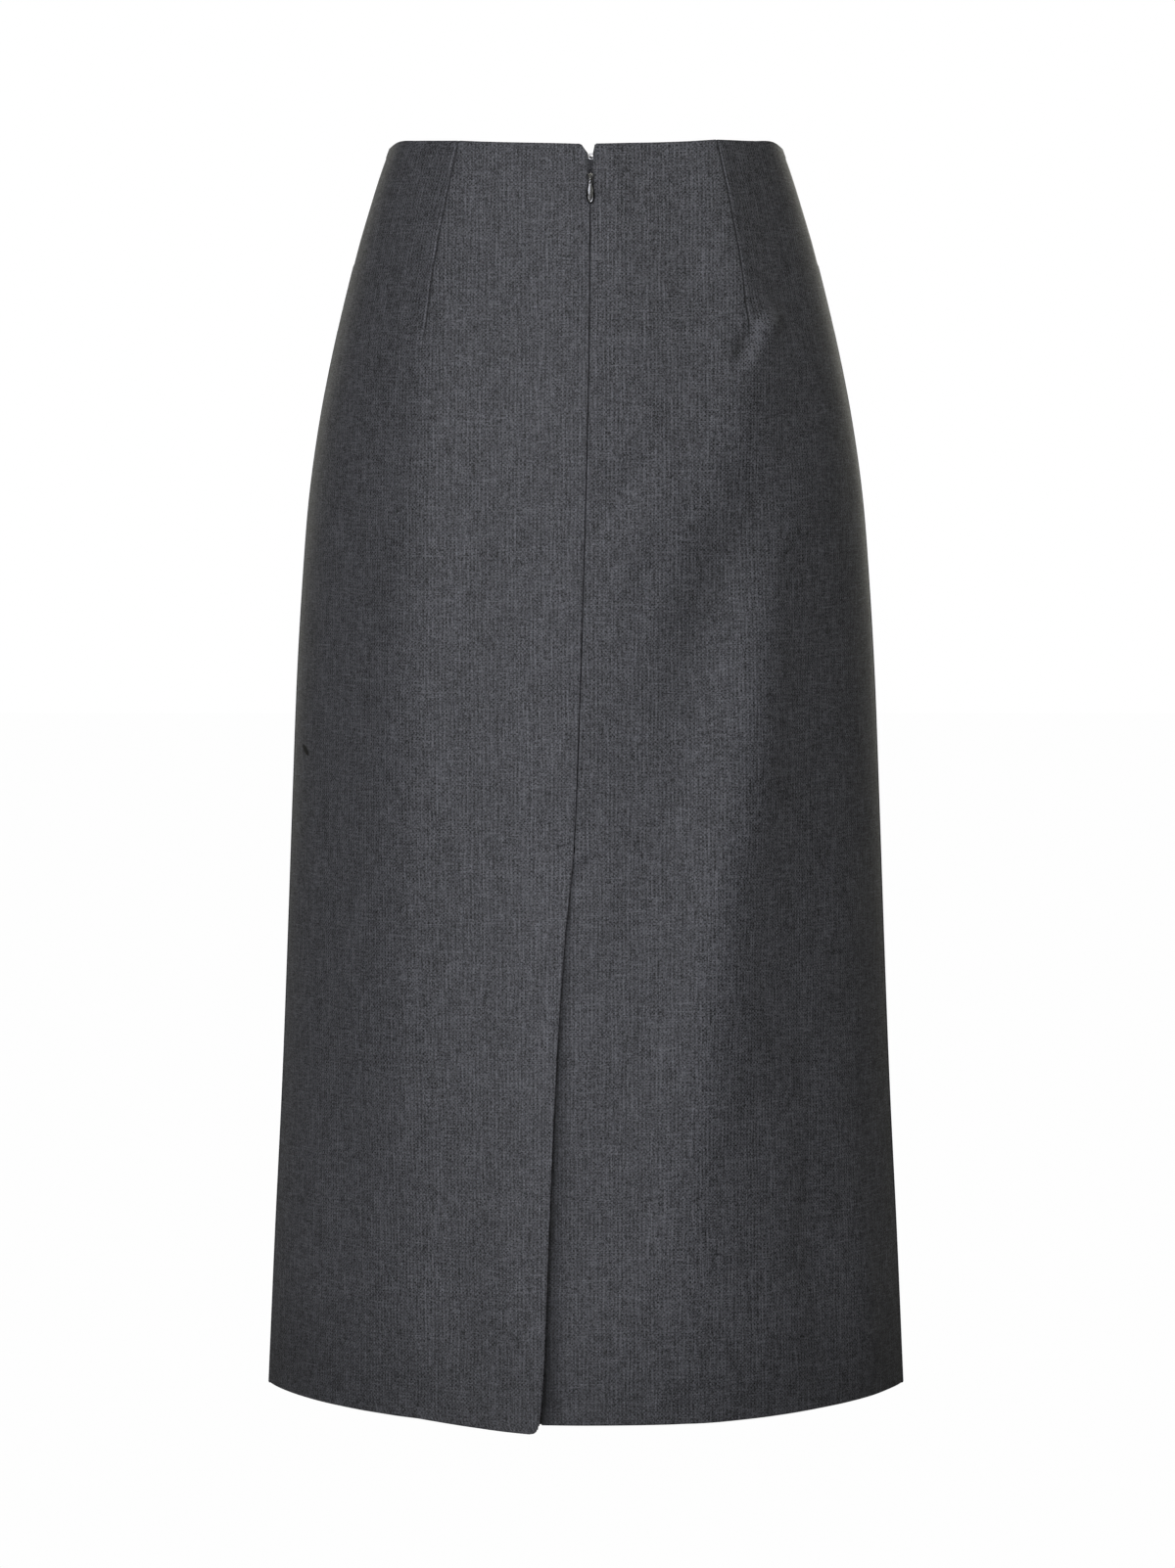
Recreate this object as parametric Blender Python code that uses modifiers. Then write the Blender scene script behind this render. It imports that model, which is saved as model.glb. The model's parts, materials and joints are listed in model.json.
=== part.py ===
"""Slit midi skirt: a high-waisted pencil skirt in wool suiting, in the hollow shape it has when worn.

The skirt is cut from a front panel and two back panels, each shaped by darts.  The back opens on a
concealed zip under a hook and eye, and ends in a vent: the left panel laps over the right one.

Frame: the origin is the centre of the waist opening, +Z is up, -Y is the wearer's back (the side
with the zip) and +X is the wearer's right.  Tables are in millimetres, the scene is in metres.
"""
import math
from collections import namedtuple

import bmesh
import bpy
from mathutils import Matrix, Vector

# ---------------------------------------------------------------- driving dimensions (mm)
MM = 0.001
SKIRT_LENGTH = 780.0
CLOTH_WALL = 1.2
SEAM_GAP = 0.3
WAIST_FADE = 60.0            # the waist edge's curve dies out over this drop

DART_GROOVE_DEPTH = 0.9
DART_GROOVE_HALF = 1.4
DART_BEND_HALF = 36.0        # how far a dart's bend reaches into the cloth on each side
DART_BEND_GROWTH = 2.5

VENT_TOP = 430.0             # drop from the waist to the top of the vent
VENT_RETURN_WIDTH = 38.0     # the left panel's edge turned under
UNDERLAP_WIDTH = 40.0        # the right panel's extension under the left one
VENT_START = 12.0            # the turned edge and the underlap begin this far below the vent's top
FOLD_GAP = 0.3
UNDERLAP_GAP = 0.5
UNDERLAP_EASE = 24.0         # width over which the right panel eases back to the surface
FLAP_PROUD = 12.0            # how far the vent's lower corner stands off the figure
FLAP_RISE = 0.75             # exponent of its growth down the vent
FLAP_SPREAD = 48.0
FLAP_HANG = 4.0              # how much lower the flap's corner hangs
FLAP_HANG_WIDTH = 75.0

ZIP_TAPE_WIDTH = 12.0
ZIP_TAPE_THICK = 1.0
ZIP_TOP = 2.0
ZIP_LENGTH = 200.0
TAPE_SHARES = (0.0, 0.5, 0.98)   # a tape's columns, from its outer edge to the opening
ZIP_CHAIN_WIDTH = 4.0
ZIP_CHAIN_THICK = 1.2
ZIP_X = 2.75                 # the zip opening's middle
LAYER_GAP = 0.3

# ---------------------------------------------------------------- tables (mm)
# One row a ring: its drop below the waist, half width, depth behind and before the side seams, and
# the two exponents of its outline (2 and 0.5 make an ellipse).
Ring = namedtuple("Ring", "drop half_width back front power round")
RINGS = (
    Ring(0, 122.0, 93, 88, 2.00, 0.50),
    Ring(17, 127.8, 96, 91, 2.00, 0.50),
    Ring(32, 132.4, 99, 94, 2.00, 0.50),
    Ring(69, 142.9, 106, 99, 2.00, 0.51),
    Ring(119, 155.3, 116, 104, 2.05, 0.53),
    Ring(168, 165.3, 123, 108, 2.10, 0.56),
    Ring(218, 172.6, 127, 111, 2.15, 0.59),
    Ring(267, 176.8, 128, 113, 2.20, 0.62),
    Ring(329, 180.7, 128, 115, 2.25, 0.66),
    Ring(403, 183.8, 128, 118, 2.30, 0.70),
    Ring(496, 187.4, 129, 121, 2.35, 0.74),
    Ring(588, 191.3, 132, 124, 2.40, 0.78),
    Ring(681, 196.2, 135, 127, 2.40, 0.80),
    Ring(780, 200.9, 138, 130, 2.40, 0.80),
)

# Soft crests down the skirt, where its broad back turns to its sides: place as a share of the half
# width, and height over the bare ring.
Crest = namedtuple("Crest", "drop place height")
LEFT_CREST = (
    Crest(0, -0.62, 2.0),
    Crest(60, -0.62, 2.5),
    Crest(119, -0.61, 4.5),
    Crest(168, -0.60, 5.5),
    Crest(267, -0.59, 7.5),
    Crest(403, -0.59, 8.0),
    Crest(496, -0.61, 6.0),
    Crest(588, -0.62, 3.5),
    Crest(681, -0.62, 1.5),
    Crest(780, -0.62, 0.0),
)
RIGHT_CREST = (
    Crest(0, 0.62, 3.0),
    Crest(60, 0.62, 5.5),
    Crest(119, 0.61, 8.0),
    Crest(168, 0.60, 7.0),
    Crest(218, 0.62, 5.5),
    Crest(267, 0.62, 6.0),
    Crest(329, 0.58, 9.5),
    Crest(403, 0.53, 13.0),
    Crest(496, 0.46, 12.5),
    Crest(588, 0.40, 8.0),
    Crest(681, 0.36, 3.5),
    Crest(780, 0.36, 2.0),
)
FRONT_CREST = (
    Crest(0, 0.62, 1.0),
    Crest(119, 0.62, 4.0),
    Crest(267, 0.62, 6.0),
    Crest(403, 0.62, 5.0),
    Crest(588, 0.62, 2.0),
    Crest(780, 0.62, 0.0),
)
CREST_WIDTH = 0.16
CREST_FADE = 0.1             # share of the half width over which the crests fade at a side seam
FOLD_FADE = 0.05

# The waist's edge: how far it dips below its highest point, by share of the half width.
WaistEdge = namedtuple("WaistEdge", "share dip")
WAIST_EDGE = (
    WaistEdge(0.0, 4.2),
    WaistEdge(0.5, 2.5),
    WaistEdge(0.85, 0.4),
    WaistEdge(0.94, 0.0),
    WaistEdge(1.0, 2.9),
)

# A dart: place as a share of the half width, length, and the bend it gives the cloth.
Dart = namedtuple("Dart", "share length bend")
BACK_DARTS = {-1: Dart(-0.630, 127, 2.0), 1: Dart(0.636, 127, 4.0)}
FRONT_DARTS = {-1: Dart(-0.55, 95, 2.0), 1: Dart(0.55, 95, 2.0)}

# The centre back: x of the two panels' edges, closed seam below the zip slider, then the flap's edge.
CentreEdge = namedtuple("CentreEdge", "drop left right")
ZIP_OPENING = (
    CentreEdge(0, -2.8, 5.4),
    CentreEdge(6, 1.2, 4.3),
    CentreEdge(9, 1.2, 4.3),
    CentreEdge(21, 1.2, 4.3),
    CentreEdge(27, 1.5, 4.0),
    CentreEdge(33, 2.65, 2.95),
)
CentreLine = namedtuple("CentreLine", "drop x")
CENTRE_BACK = (
    CentreLine(33, 2.8),
    CentreLine(150, 1.6),
    CentreLine(264, -1.2),
    CentreLine(375, -4.7),
    CentreLine(430, -7.2),
    CentreLine(486, -12.5),
    CentreLine(560, -17.3),
    CentreLine(672, -22.0),
    CentreLine(746, -24.7),
    CentreLine(780, -27.7),
)

# Soft folds: x and drop at the top, middle and foot, half width and depth (troughs are negative).
Fold = namedtuple("Fold", "x_top drop_top x_mid drop_mid x_foot drop_foot half_width height")
BACK_FOLDS = (
    Fold(44, 172, 25, 210, 7, 248, 12, -1.6),
    Fold(126, 150, 92, 240, 58, 335, 20, -3.4),
    Fold(36, 300, 33, 345, 40, 390, 16, -1.4),
    Fold(108, 215, 108, 320, 104, 450, 15, 2.2),
    Fold(-84, 195, -76, 270, -67, 345, 10, -1.0),
    Fold(-119, 180, -119, 320, -128, 470, 12, 1.2),
    Fold(137, 520, 141, 660, 146, 800, 13, -2.8),
    Fold(160, 425, 160, 465, 166, 510, 12, 1.5),
    Fold(168, 640, 174, 710, 180, 790, 9, 2.0),
    Fold(-74, 660, -66, 730, -58, 800, 24, -2.2),
    Fold(-140, 540, -146, 640, -150, 760, 22, -1.6),
)
FRONT_FOLDS = (
    Fold(-62, 150, -52, 250, -40, 360, 18, -2.4),
    Fold(66, 160, 58, 270, 50, 400, 20, -2.8),
    Fold(-112, 190, -114, 330, -120, 470, 14, 1.8),
    Fold(112, 190, 116, 320, 120, 450, 14, 1.8),
    Fold(-138, 500, -142, 640, -148, 800, 16, -2.6),
    Fold(20, 480, 28, 620, 36, 800, 24, -2.4),
    Fold(128, 520, 136, 660, 142, 800, 15, -2.4),
)
DartTip = namedtuple("DartTip", "x drop radius height")
DART_TIPS = (
    DartTip(-104, 128, 15, 1.0),
    DartTip(108, 122, 16, 1.6),
)

# ---------------------------------------------------------------- grid spacing (mm and degrees)
TOP_DROPS = (0, 3, 6, 9, 15, 21, 27, 33, 46, 64)
ROW_STEP = 25.0
FRONT_ROWS = 27
SIDE_COLUMNS = 8             # between the side seam and the dart
CENTRE_COLUMNS = 5           # between the dart and the centre back
CENTRE_MARGIN = 27.0         # the last column before the two along the centre edge
FRONT_SIDE_COLUMNS = 7
FRONT_CENTRE_COLUMNS = 11
SEAM_STRIP = 1.0             # the pressed edge beside a side seam
FOLD_SEGMENTS = 4

# ---------------------------------------------------------------- zip slider, pull, hook and eye (mm)
PIVOT_DROP = 22.8
PIVOT_OUT = 1.75             # the pull's crossbar, outside the cloth
BRIDGE_WIRE = 0.45           # radius
BRIDGE_TOP = 2.85
BRIDGE_FOOT = -1.15
BRIDGE_OUT = 2.9
BRIDGE_CORNER = 0.8
SLIDER_SIZE = (6.0, 3.2, 8.4)
SLIDER_IN = 2.9
SLIDER_LOW = -4.6
SLIDER_BEVEL = 0.7
PULL_THICK = 0.8
PULL_BAR = 0.4               # half height of the crossbar
PULL_HOLE_HALF = 0.65
PULL_HOLE_LOW = -3.4
PULL_TIP = -15.9
EYE_DROP = 7.4
EYE_RADIUS = 1.5
EYE_WIRE = 0.4
EYE_LEG = 6.5
EYE_IN = 3.25
HOOK_WIRE = 0.35

PART_NAME = "slit_midi_skirt"


# ---------------------------------------------------------------- small helpers
def clamp01(value):
    return max(0.0, min(1.0, value))


def smooth_step(value):
    share = clamp01(value)
    return share * share * (3.0 - 2.0 * share)


def bell(distance, width):
    return math.exp(-(distance / width) ** 2)


def straight(rows, key, field):
    """Read a table's column at a value of its first column, along straight lines between its rows."""
    if key <= rows[0][0]:
        return getattr(rows[0], field)
    for above, below in zip(rows, rows[1:]):
        if key <= below[0]:
            share = (key - above[0]) / (below[0] - above[0])
            return getattr(above, field) * (1 - share) + getattr(below, field) * share
    return getattr(rows[-1], field)


def slope(rows, index, field):
    low = max(index - 1, 0)
    high = min(index + 1, len(rows) - 1)
    rise = getattr(rows[high], field) - getattr(rows[low], field)
    return rise / (rows[high][0] - rows[low][0])


def curved(rows, key, field):
    """Read a table's column at a value of its first column, along a smooth curve through its rows."""
    key = max(rows[0][0], min(rows[-1][0], key))
    for index in range(len(rows) - 1):
        above = rows[index]
        below = rows[index + 1]
        if key <= below[0]:
            break
    span = below[0] - above[0]
    s = (key - above[0]) / span
    start = getattr(above, field)
    end = getattr(below, field)
    start_slope = slope(rows, index, field) * span
    end_slope = slope(rows, index + 1, field) * span
    return ((2 * s ** 3 - 3 * s ** 2 + 1) * start + (s ** 3 - 2 * s ** 2 + s) * start_slope
            + (3 * s ** 2 - 2 * s ** 3) * end + (s ** 3 - s ** 2) * end_slope)


# ---------------------------------------------------------------- the cloth's form
def half_width(drop):
    return curved(RINGS, drop, "half_width")


def vent_edge(drop):
    return curved(CENTRE_BACK, drop, "x")


def left_edge(drop):
    """x of the back left panel's centre edge: the zip opening, the seam, then the flap's fold."""
    if drop < ZIP_OPENING[-1].drop:
        return straight(ZIP_OPENING, drop, "left")
    return vent_edge(drop) - SEAM_GAP / 2


def right_edge(drop):
    if drop < ZIP_OPENING[-1].drop:
        return straight(ZIP_OPENING, drop, "right")
    return vent_edge(drop) + SEAM_GAP / 2


def crest_height(share, drop, depth_field):
    """Height of the soft crests, none right at the side seams."""
    if depth_field == "back":
        crests = (LEFT_CREST, RIGHT_CREST)
        places = [curved(crest, drop, "place") for crest in crests]
    else:
        crests = (FRONT_CREST, FRONT_CREST)
        places = [-curved(FRONT_CREST, drop, "place"), curved(FRONT_CREST, drop, "place")]
    total = 0.0
    for crest, place in zip(crests, places):
        total += curved(crest, drop, "height") * bell(share - place, CREST_WIDTH)
    return total * smooth_step((1.0 - abs(share)) / CREST_FADE)


def ring_point(share, drop, depth_field):
    """A point of the bare ring, at a share of the half width; depth is measured outwards."""
    power = curved(RINGS, drop, "power")
    roundness = curved(RINGS, drop, "round")
    depth = curved(RINGS, drop, depth_field) * max(0.0, 1.0 - abs(share) ** power) ** roundness
    depth += crest_height(share, drop, depth_field)
    return Vector((share * half_width(drop), depth, -drop))


def ring_normal(share, drop, depth_field):
    """The outward direction of the bare ring, in x, depth and z."""
    step = 0.002
    inner = max(-1.0, share - step)
    outer = min(1.0, share + step)
    along = ring_point(outer, drop, depth_field) - ring_point(inner, drop, depth_field)
    down = ring_point(share, drop + 1, depth_field) - ring_point(share, drop - 1, depth_field)
    return along.cross(down).normalized()


def fold_height(folds, x, drop):
    total = 0.0
    for fold in folds:
        length = fold.drop_foot - fold.drop_top
        s = (drop - fold.drop_top) / length
        if not 0.0 < s < 1.0:
            continue
        middle = (fold.drop_mid - fold.drop_top) / length
        top_weight = (s - middle) * (s - 1) / middle
        mid_weight = s * (s - 1) / (middle * (middle - 1))
        foot_weight = s * (s - middle) / (1 - middle)
        centre = fold.x_top * top_weight + fold.x_mid * mid_weight + fold.x_foot * foot_weight
        total += fold.height * math.sin(math.pi * s) * bell(x - centre, fold.half_width)
    return total


def dart_height(x, drop, dart):
    """The bend that a dart gives the cloth, and the stitched groove along it."""
    if drop >= dart.length:
        return 0.0
    offset = x - dart.share * half_width(drop)
    reach = 1.0 - drop / dart.length
    groove = DART_GROOVE_DEPTH * reach * bell(offset, DART_GROOVE_HALF)
    spread = clamp01(1.0 - abs(offset) / DART_BEND_HALF)
    return dart.bend * smooth_step(DART_BEND_GROWTH * reach) * spread ** 2 - groove


def flap_share(drop):
    return clamp01((drop - VENT_TOP) / (SKIRT_LENGTH - VENT_TOP))


def flap_lift(x, drop):
    """How far the left panel stands off the figure beside the vent."""
    away = min(0.0, x - vent_edge(drop))
    return FLAP_PROUD * flap_share(drop) ** FLAP_RISE * bell(away, FLAP_SPREAD)


def flap_hang(x, drop):
    away = vent_edge(drop) - x
    return FLAP_HANG * flap_share(drop) ** 3 * clamp01(1.0 - away / FLAP_HANG_WIDTH)


def underlap_depth(x, drop):
    """How far the right panel lies below the figure, to pass under the flap."""
    stack = 2 * CLOTH_WALL + FOLD_GAP + UNDERLAP_GAP
    away = max(0.0, x - vent_edge(drop))
    needed = max(0.0, stack - flap_lift(x - away, drop))
    start = smooth_step((drop - VENT_TOP) / VENT_START)
    return needed * start * (1.0 - smooth_step(away / UNDERLAP_EASE))


def waist_dip(share, drop):
    return curved(WAIST_EDGE, abs(share), "dip") * clamp01(1.0 - drop / WAIST_FADE)


def back_point(x, drop, side):
    """A point of a back panel's outer face.  side is -1 on the left panel and 1 on the right."""
    width = half_width(drop)
    share = max(-1.0, min(1.0, x / width))
    point = ring_point(share, drop, "back")
    normal = ring_normal(share, drop, "back")
    seam_fade = smooth_step((1.0 - abs(share)) / FOLD_FADE)
    height = fold_height(BACK_FOLDS, x, drop) * seam_fade + dart_height(x, drop, BACK_DARTS[side])
    for tip in DART_TIPS:
        height += tip.height * bell(math.hypot(x - tip.x, drop - tip.drop), tip.radius)
    hang = 0.0
    if side < 0:
        height += flap_lift(x, drop)
        hang = flap_hang(x, drop)
    else:
        height -= underlap_depth(x, drop)
    point += normal * height
    down = waist_dip(share, drop) + hang
    return Vector((point.x, -point.y - SEAM_GAP / 2, point.z - down)) * MM


def front_point(x, drop):
    width = half_width(drop)
    share = max(-1.0, min(1.0, x / width))
    point = ring_point(share, drop, "front")
    normal = ring_normal(share, drop, "front")
    seam_fade = smooth_step((1.0 - abs(share)) / FOLD_FADE)
    height = fold_height(FRONT_FOLDS, x, drop) * seam_fade
    for dart in FRONT_DARTS.values():
        height += dart_height(x, drop, dart)
    point += normal * height
    return Vector((point.x, point.y + SEAM_GAP / 2, point.z - waist_dip(share, drop))) * MM


def back_normal(x, drop, side):
    step = 0.5
    along = back_point(x + step, drop, side) - back_point(x - step, drop, side)
    down = back_point(x, drop + step, side) - back_point(x, drop - step, side)
    return along.cross(-down).normalized()


# ---------------------------------------------------------------- grids
def angle_of(share):
    return math.asin(max(-1.0, min(1.0, share)))


def evenly(start, end, count):
    """Shares of the half width at even angles round the ring, without the last one."""
    first = angle_of(start)
    last = angle_of(end)
    return [math.sin(first + (last - first) * index / count) for index in range(count)]


def row_drops():
    """Drops of the back panels' rows: close at the zip, then even, with one at the vent's top."""
    drops = list(TOP_DROPS)
    for end in (VENT_TOP, SKIRT_LENGTH):
        start = drops[-1]
        if start >= VENT_TOP:
            drops += [VENT_TOP + VENT_START / 2, VENT_TOP + VENT_START]
            start = drops[-1]
        count = round((end - start) / ROW_STEP)
        drops += [start + (end - start) * (index + 1) / count for index in range(count)]
    return drops


def panel_columns(drop, side):
    """x of one back panel's columns at a drop, from its side seam to its centre edge."""
    width = half_width(drop)
    dart = BACK_DARTS[side].share
    edge = left_edge(drop) if side < 0 else right_edge(drop)
    groove = 2.2 * DART_GROOVE_HALF
    shares = evenly(side, dart, SIDE_COLUMNS)
    xs = [share * width for share in shares]
    xs += [dart * width + side * groove, dart * width, dart * width - side * groove]
    inner = edge + side * CENTRE_MARGIN
    xs += [share * width for share in evenly(dart, inner / width, CENTRE_COLUMNS)[1:]]
    return xs + [inner, edge + side * ZIP_TAPE_WIDTH, edge]


def side_strip(point, toward):
    """The point a strip's width from a side seam: the pressed edge runs straight towards it."""
    return Vector((point.x, point.y + toward * SEAM_STRIP * MM, point.z))


def mesh_from_rows(name, rows):
    """Faces over rows of points; a row may hold None where the cloth is cut away."""
    mesh = bpy.data.meshes.new(name)
    work = bmesh.new()
    verts = [[work.verts.new(point) if point is not None else None for point in row] for row in rows]
    for above, below in zip(verts, verts[1:]):
        for left in range(len(above) - 1):
            corners = (above[left], above[left + 1], below[left + 1], below[left])
            if None not in corners:
                work.faces.new(corners)
    work.normal_update()
    work.to_mesh(mesh)
    work.free()
    mesh.shade_smooth()
    return mesh


def make_material(name, colour, roughness, metallic):
    material = bpy.data.materials.new(name)
    material.use_nodes = True
    shader = material.node_tree.nodes["Principled BSDF"]
    shader.inputs["Base Color"].default_value = (*colour, 1.0)
    shader.inputs["Roughness"].default_value = roughness
    shader.inputs["Metallic"].default_value = metallic
    material.diffuse_color = (*colour, 1.0)
    return material


def cloth_object(name, rows, colour, wall=CLOTH_WALL, flip=False):
    """A wall of cloth: the rows are its outer face, and Solidify gives it thickness inwards."""
    mesh = mesh_from_rows(name, rows)
    if flip:
        mesh.flip_normals()
    cloth = bpy.data.objects.new(name, mesh)
    parts.objects.link(cloth)
    thicken = cloth.modifiers.new("cloth_wall", "SOLIDIFY")
    thicken.thickness = wall * MM
    thicken.offset = -1.0
    thicken.use_even_offset = True
    mesh.materials.append(make_material(name + "_cloth", colour, 0.9, 0.0))
    return cloth


# ---------------------------------------------------------------- pieces
CHARCOAL = (0.078, 0.080, 0.090)
ZIP_GREY = (0.050, 0.051, 0.056)
STEEL = (0.62, 0.62, 0.62)
DARK_ENAMEL = (0.045, 0.046, 0.050)


def front_row(drop):
    width = half_width(drop)
    groove = 2.2 * DART_GROOVE_HALF
    dart_share = FRONT_DARTS[1].share
    dart = dart_share * width
    xs = [share * width for share in evenly(-1, -dart_share, FRONT_SIDE_COLUMNS)]
    xs += [-dart - groove, -dart, -dart + groove]
    xs += [share * width for share in evenly(-dart_share, dart_share, FRONT_CENTRE_COLUMNS)[1:]]
    xs += [dart - groove, dart, dart + groove]
    outer = [share * width for share in evenly(1, dart_share, FRONT_SIDE_COLUMNS)]
    points = [front_point(x, drop) for x in xs + outer[::-1]]
    return [points[0], side_strip(points[0], 1)] + points[1:-1] + [side_strip(points[-1], 1), points[-1]]


def make_front():
    drops = list(TOP_DROPS[::3])
    start = drops[-1]
    rest = SKIRT_LENGTH - start
    drops += [start + rest * (index + 1) / FRONT_ROWS for index in range(FRONT_ROWS)]
    return cloth_object("front_panel", [front_row(drop) for drop in drops], CHARCOAL)


def turned_edge(drop, row):
    """The left panel's vent edge: a round fold, then the return lying under the flap.

    row holds the panel's own points, and the return runs parallel to them.
    """
    if drop < VENT_TOP + VENT_START - 0.01:
        return [None] * (FOLD_SEGMENTS + 3)
    xs = panel_columns(drop, -1)
    radius = CLOTH_WALL + FOLD_GAP / 2
    outward = back_normal(xs[-1], drop, -1)
    across = Vector((1, 0, 0))
    centre = row[-1] - outward * radius * MM
    points = []
    for index in range(1, FOLD_SEGMENTS + 1):
        turn = math.pi * index / FOLD_SEGMENTS
        points.append(centre + (outward * math.cos(turn) + across * math.sin(turn)) * radius * MM)
    under = [point - back_normal(x, drop, -1) * 2 * radius * MM for x, point in zip(xs[-4:], row[-4:])]
    last_share = (xs[-3] - (xs[-1] - VENT_RETURN_WIDTH)) / (xs[-3] - xs[-4])
    return points + [under[2], under[1], under[1].lerp(under[0], last_share)]


def make_back_left():
    rows = []
    for drop in row_drops():
        points = [back_point(x, drop, -1) for x in panel_columns(drop, -1)]
        start = [points[0], side_strip(points[0], -1)]
        rows.append(start + points[1:] + turned_edge(drop, points))
    return cloth_object("back_left_panel", rows, CHARCOAL, flip=True)


def underlap(drop):
    if drop < VENT_TOP + VENT_START - 0.01:
        return [None] * 4
    edge = right_edge(drop)
    return [back_point(edge - UNDERLAP_WIDTH * share, drop, 1) for share in (0.25, 0.5, 0.75, 1.0)]


def make_back_right():
    rows = []
    for drop in row_drops():
        points = [back_point(x, drop, 1) for x in panel_columns(drop, 1)]
        start = [points[0], side_strip(points[0], -1)]
        rows.append(start + points[1:] + underlap(drop))
    return cloth_object("back_right_panel", rows, CHARCOAL)


def zip_drops():
    """The back panels' rows that the zip spans."""
    return [drop for drop in row_drops() if ZIP_TOP < drop < ZIP_LENGTH]


def make_tape(name, side):
    """A zip tape: the strip of its panel along the centre edge, moved in under the cloth."""
    depth = CLOTH_WALL + LAYER_GAP
    rows = []
    for drop in zip_drops():
        tape_x, edge = panel_columns(drop, side)[-2:]
        outer = back_point(tape_x, drop, side) - back_normal(tape_x, drop, side) * depth * MM
        inner = back_point(edge, drop, side) - back_normal(edge, drop, side) * depth * MM
        rows.append([outer.lerp(inner, share) for share in TAPE_SHARES])
    return cloth_object(name, rows, ZIP_GREY, wall=ZIP_TAPE_THICK, flip=side < 0)


def make_chain():
    """The closed coil: a narrow strip inside both tapes, from the slider down."""
    depth = CLOTH_WALL + ZIP_TAPE_THICK + 2 * LAYER_GAP
    start = PIVOT_DROP - SLIDER_LOW + LAYER_GAP + 0.2
    rows = []
    for drop in [start] + [drop for drop in zip_drops() if drop > start]:
        edge = left_edge(drop)
        outward = back_normal(edge, drop, -1)
        middle = back_point(edge, drop, -1) - outward * depth * MM
        half = Vector((ZIP_CHAIN_WIDTH / 2 * MM, 0, 0))
        rows.append([middle - half, middle, middle + half])
    return cloth_object("zip_chain", rows, ZIP_GREY, wall=ZIP_CHAIN_THICK, flip=True)


def zip_matrix(drop, out):
    """A frame on the zip opening: x across, y inwards, z up along the cloth."""
    edge = ZIP_X - 3.0
    outward = back_normal(edge, drop, -1)
    outward.x = 0.0
    outward.normalize()
    foot = back_point(edge, drop, -1)
    foot.x = ZIP_X * MM
    inward = -outward
    up = Vector((1, 0, 0)).cross(inward)
    turn = Matrix((Vector((1, 0, 0)), inward, up)).transposed()
    return Matrix.Translation(foot + outward * out * MM) @ turn.to_4x4()


def wire(name, points, radius, collection):
    """A round wire along points given in mm."""
    curve = bpy.data.curves.new(name, "CURVE")
    curve.dimensions = "3D"
    curve.bevel_depth = radius * MM
    curve.bevel_resolution = 2
    curve.use_fill_caps = True
    spline = curve.splines.new("POLY")
    spline.points.add(len(points) - 1)
    for target, point in zip(spline.points, points):
        target.co = (*(Vector(point) * MM), 1.0)
    bent = bpy.data.objects.new(name, curve)
    collection.objects.link(bent)
    return bent


def closed_mesh(source):
    """Turn a wire into a mesh whose caps are welded on, in place of the curve."""
    name = source.name
    bpy.context.view_layer.update()
    evaluated = source.evaluated_get(bpy.context.evaluated_depsgraph_get())
    mesh = bpy.data.meshes.new_from_object(evaluated)
    work = bmesh.new()
    work.from_mesh(mesh)
    bmesh.ops.remove_doubles(work, verts=work.verts, dist=1e-6)
    bmesh.ops.recalc_face_normals(work, faces=work.faces)
    work.to_mesh(mesh)
    work.free()
    solid = bpy.data.objects.new(name + "_solid", mesh)
    solid.matrix_world = source.matrix_world
    for collection in source.users_collection:
        collection.objects.link(solid)
    bpy.data.objects.remove(source)
    solid.name = name
    return solid


def arc(centre_in, centre_up, radius, start, end, count):
    """Points of an arc in the frame's y and z, from one angle to another in degrees."""
    points = []
    for index in range(count + 1):
        turn = math.radians(start + (end - start) * index / count)
        points.append((0.0, centre_in + radius * math.cos(turn), centre_up + radius * math.sin(turn)))
    return points


def make_slider(place):
    """The slider's body lies inside the tapes; its wire bridge stands out through the opening."""
    corner = BRIDGE_CORNER
    outer = PIVOT_OUT - BRIDGE_OUT
    route = [(0.0, PIVOT_OUT + SLIDER_IN + 1.0, BRIDGE_TOP)]
    route += arc(outer + corner, BRIDGE_TOP - corner, corner, 90, 180, 4)
    route += arc(outer + corner, BRIDGE_FOOT + corner, corner, 180, 270, 4)
    route += [(0.0, PIVOT_OUT + SLIDER_IN + 1.0, BRIDGE_FOOT)]
    bridge = wire("zip_bridge", route, BRIDGE_WIRE, cutters)
    bridge.matrix_world = place
    bridge = closed_mesh(bridge)
    bridge.hide_render = True
    bridge.display_type = "WIRE"

    mesh = bpy.data.meshes.new("zip_slider")
    work = bmesh.new()
    bmesh.ops.create_cube(work, size=1.0)
    width, thick, height = SLIDER_SIZE
    bmesh.ops.scale(work, vec=Vector(SLIDER_SIZE) * MM, verts=work.verts)
    middle = Vector((0.0, PIVOT_OUT + SLIDER_IN + thick / 2, SLIDER_LOW + height / 2))
    bmesh.ops.translate(work, vec=middle * MM, verts=work.verts)
    for vert in work.verts:
        if vert.co.z < middle.z * MM:
            vert.co.x *= 0.72
    work.to_mesh(mesh)
    work.free()
    slider = bpy.data.objects.new("zip_slider", mesh)
    parts.objects.link(slider)
    slider.matrix_world = place
    edges = slider.modifiers.new("rounded_edges", "BEVEL")
    edges.width = SLIDER_BEVEL * MM
    edges.segments = 2
    join = slider.modifiers.new("bridge", "BOOLEAN")
    join.operation = "UNION"
    join.object = bridge
    mesh.materials.append(make_material("slider_metal", STEEL, 0.3, 1.0))
    return slider


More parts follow.
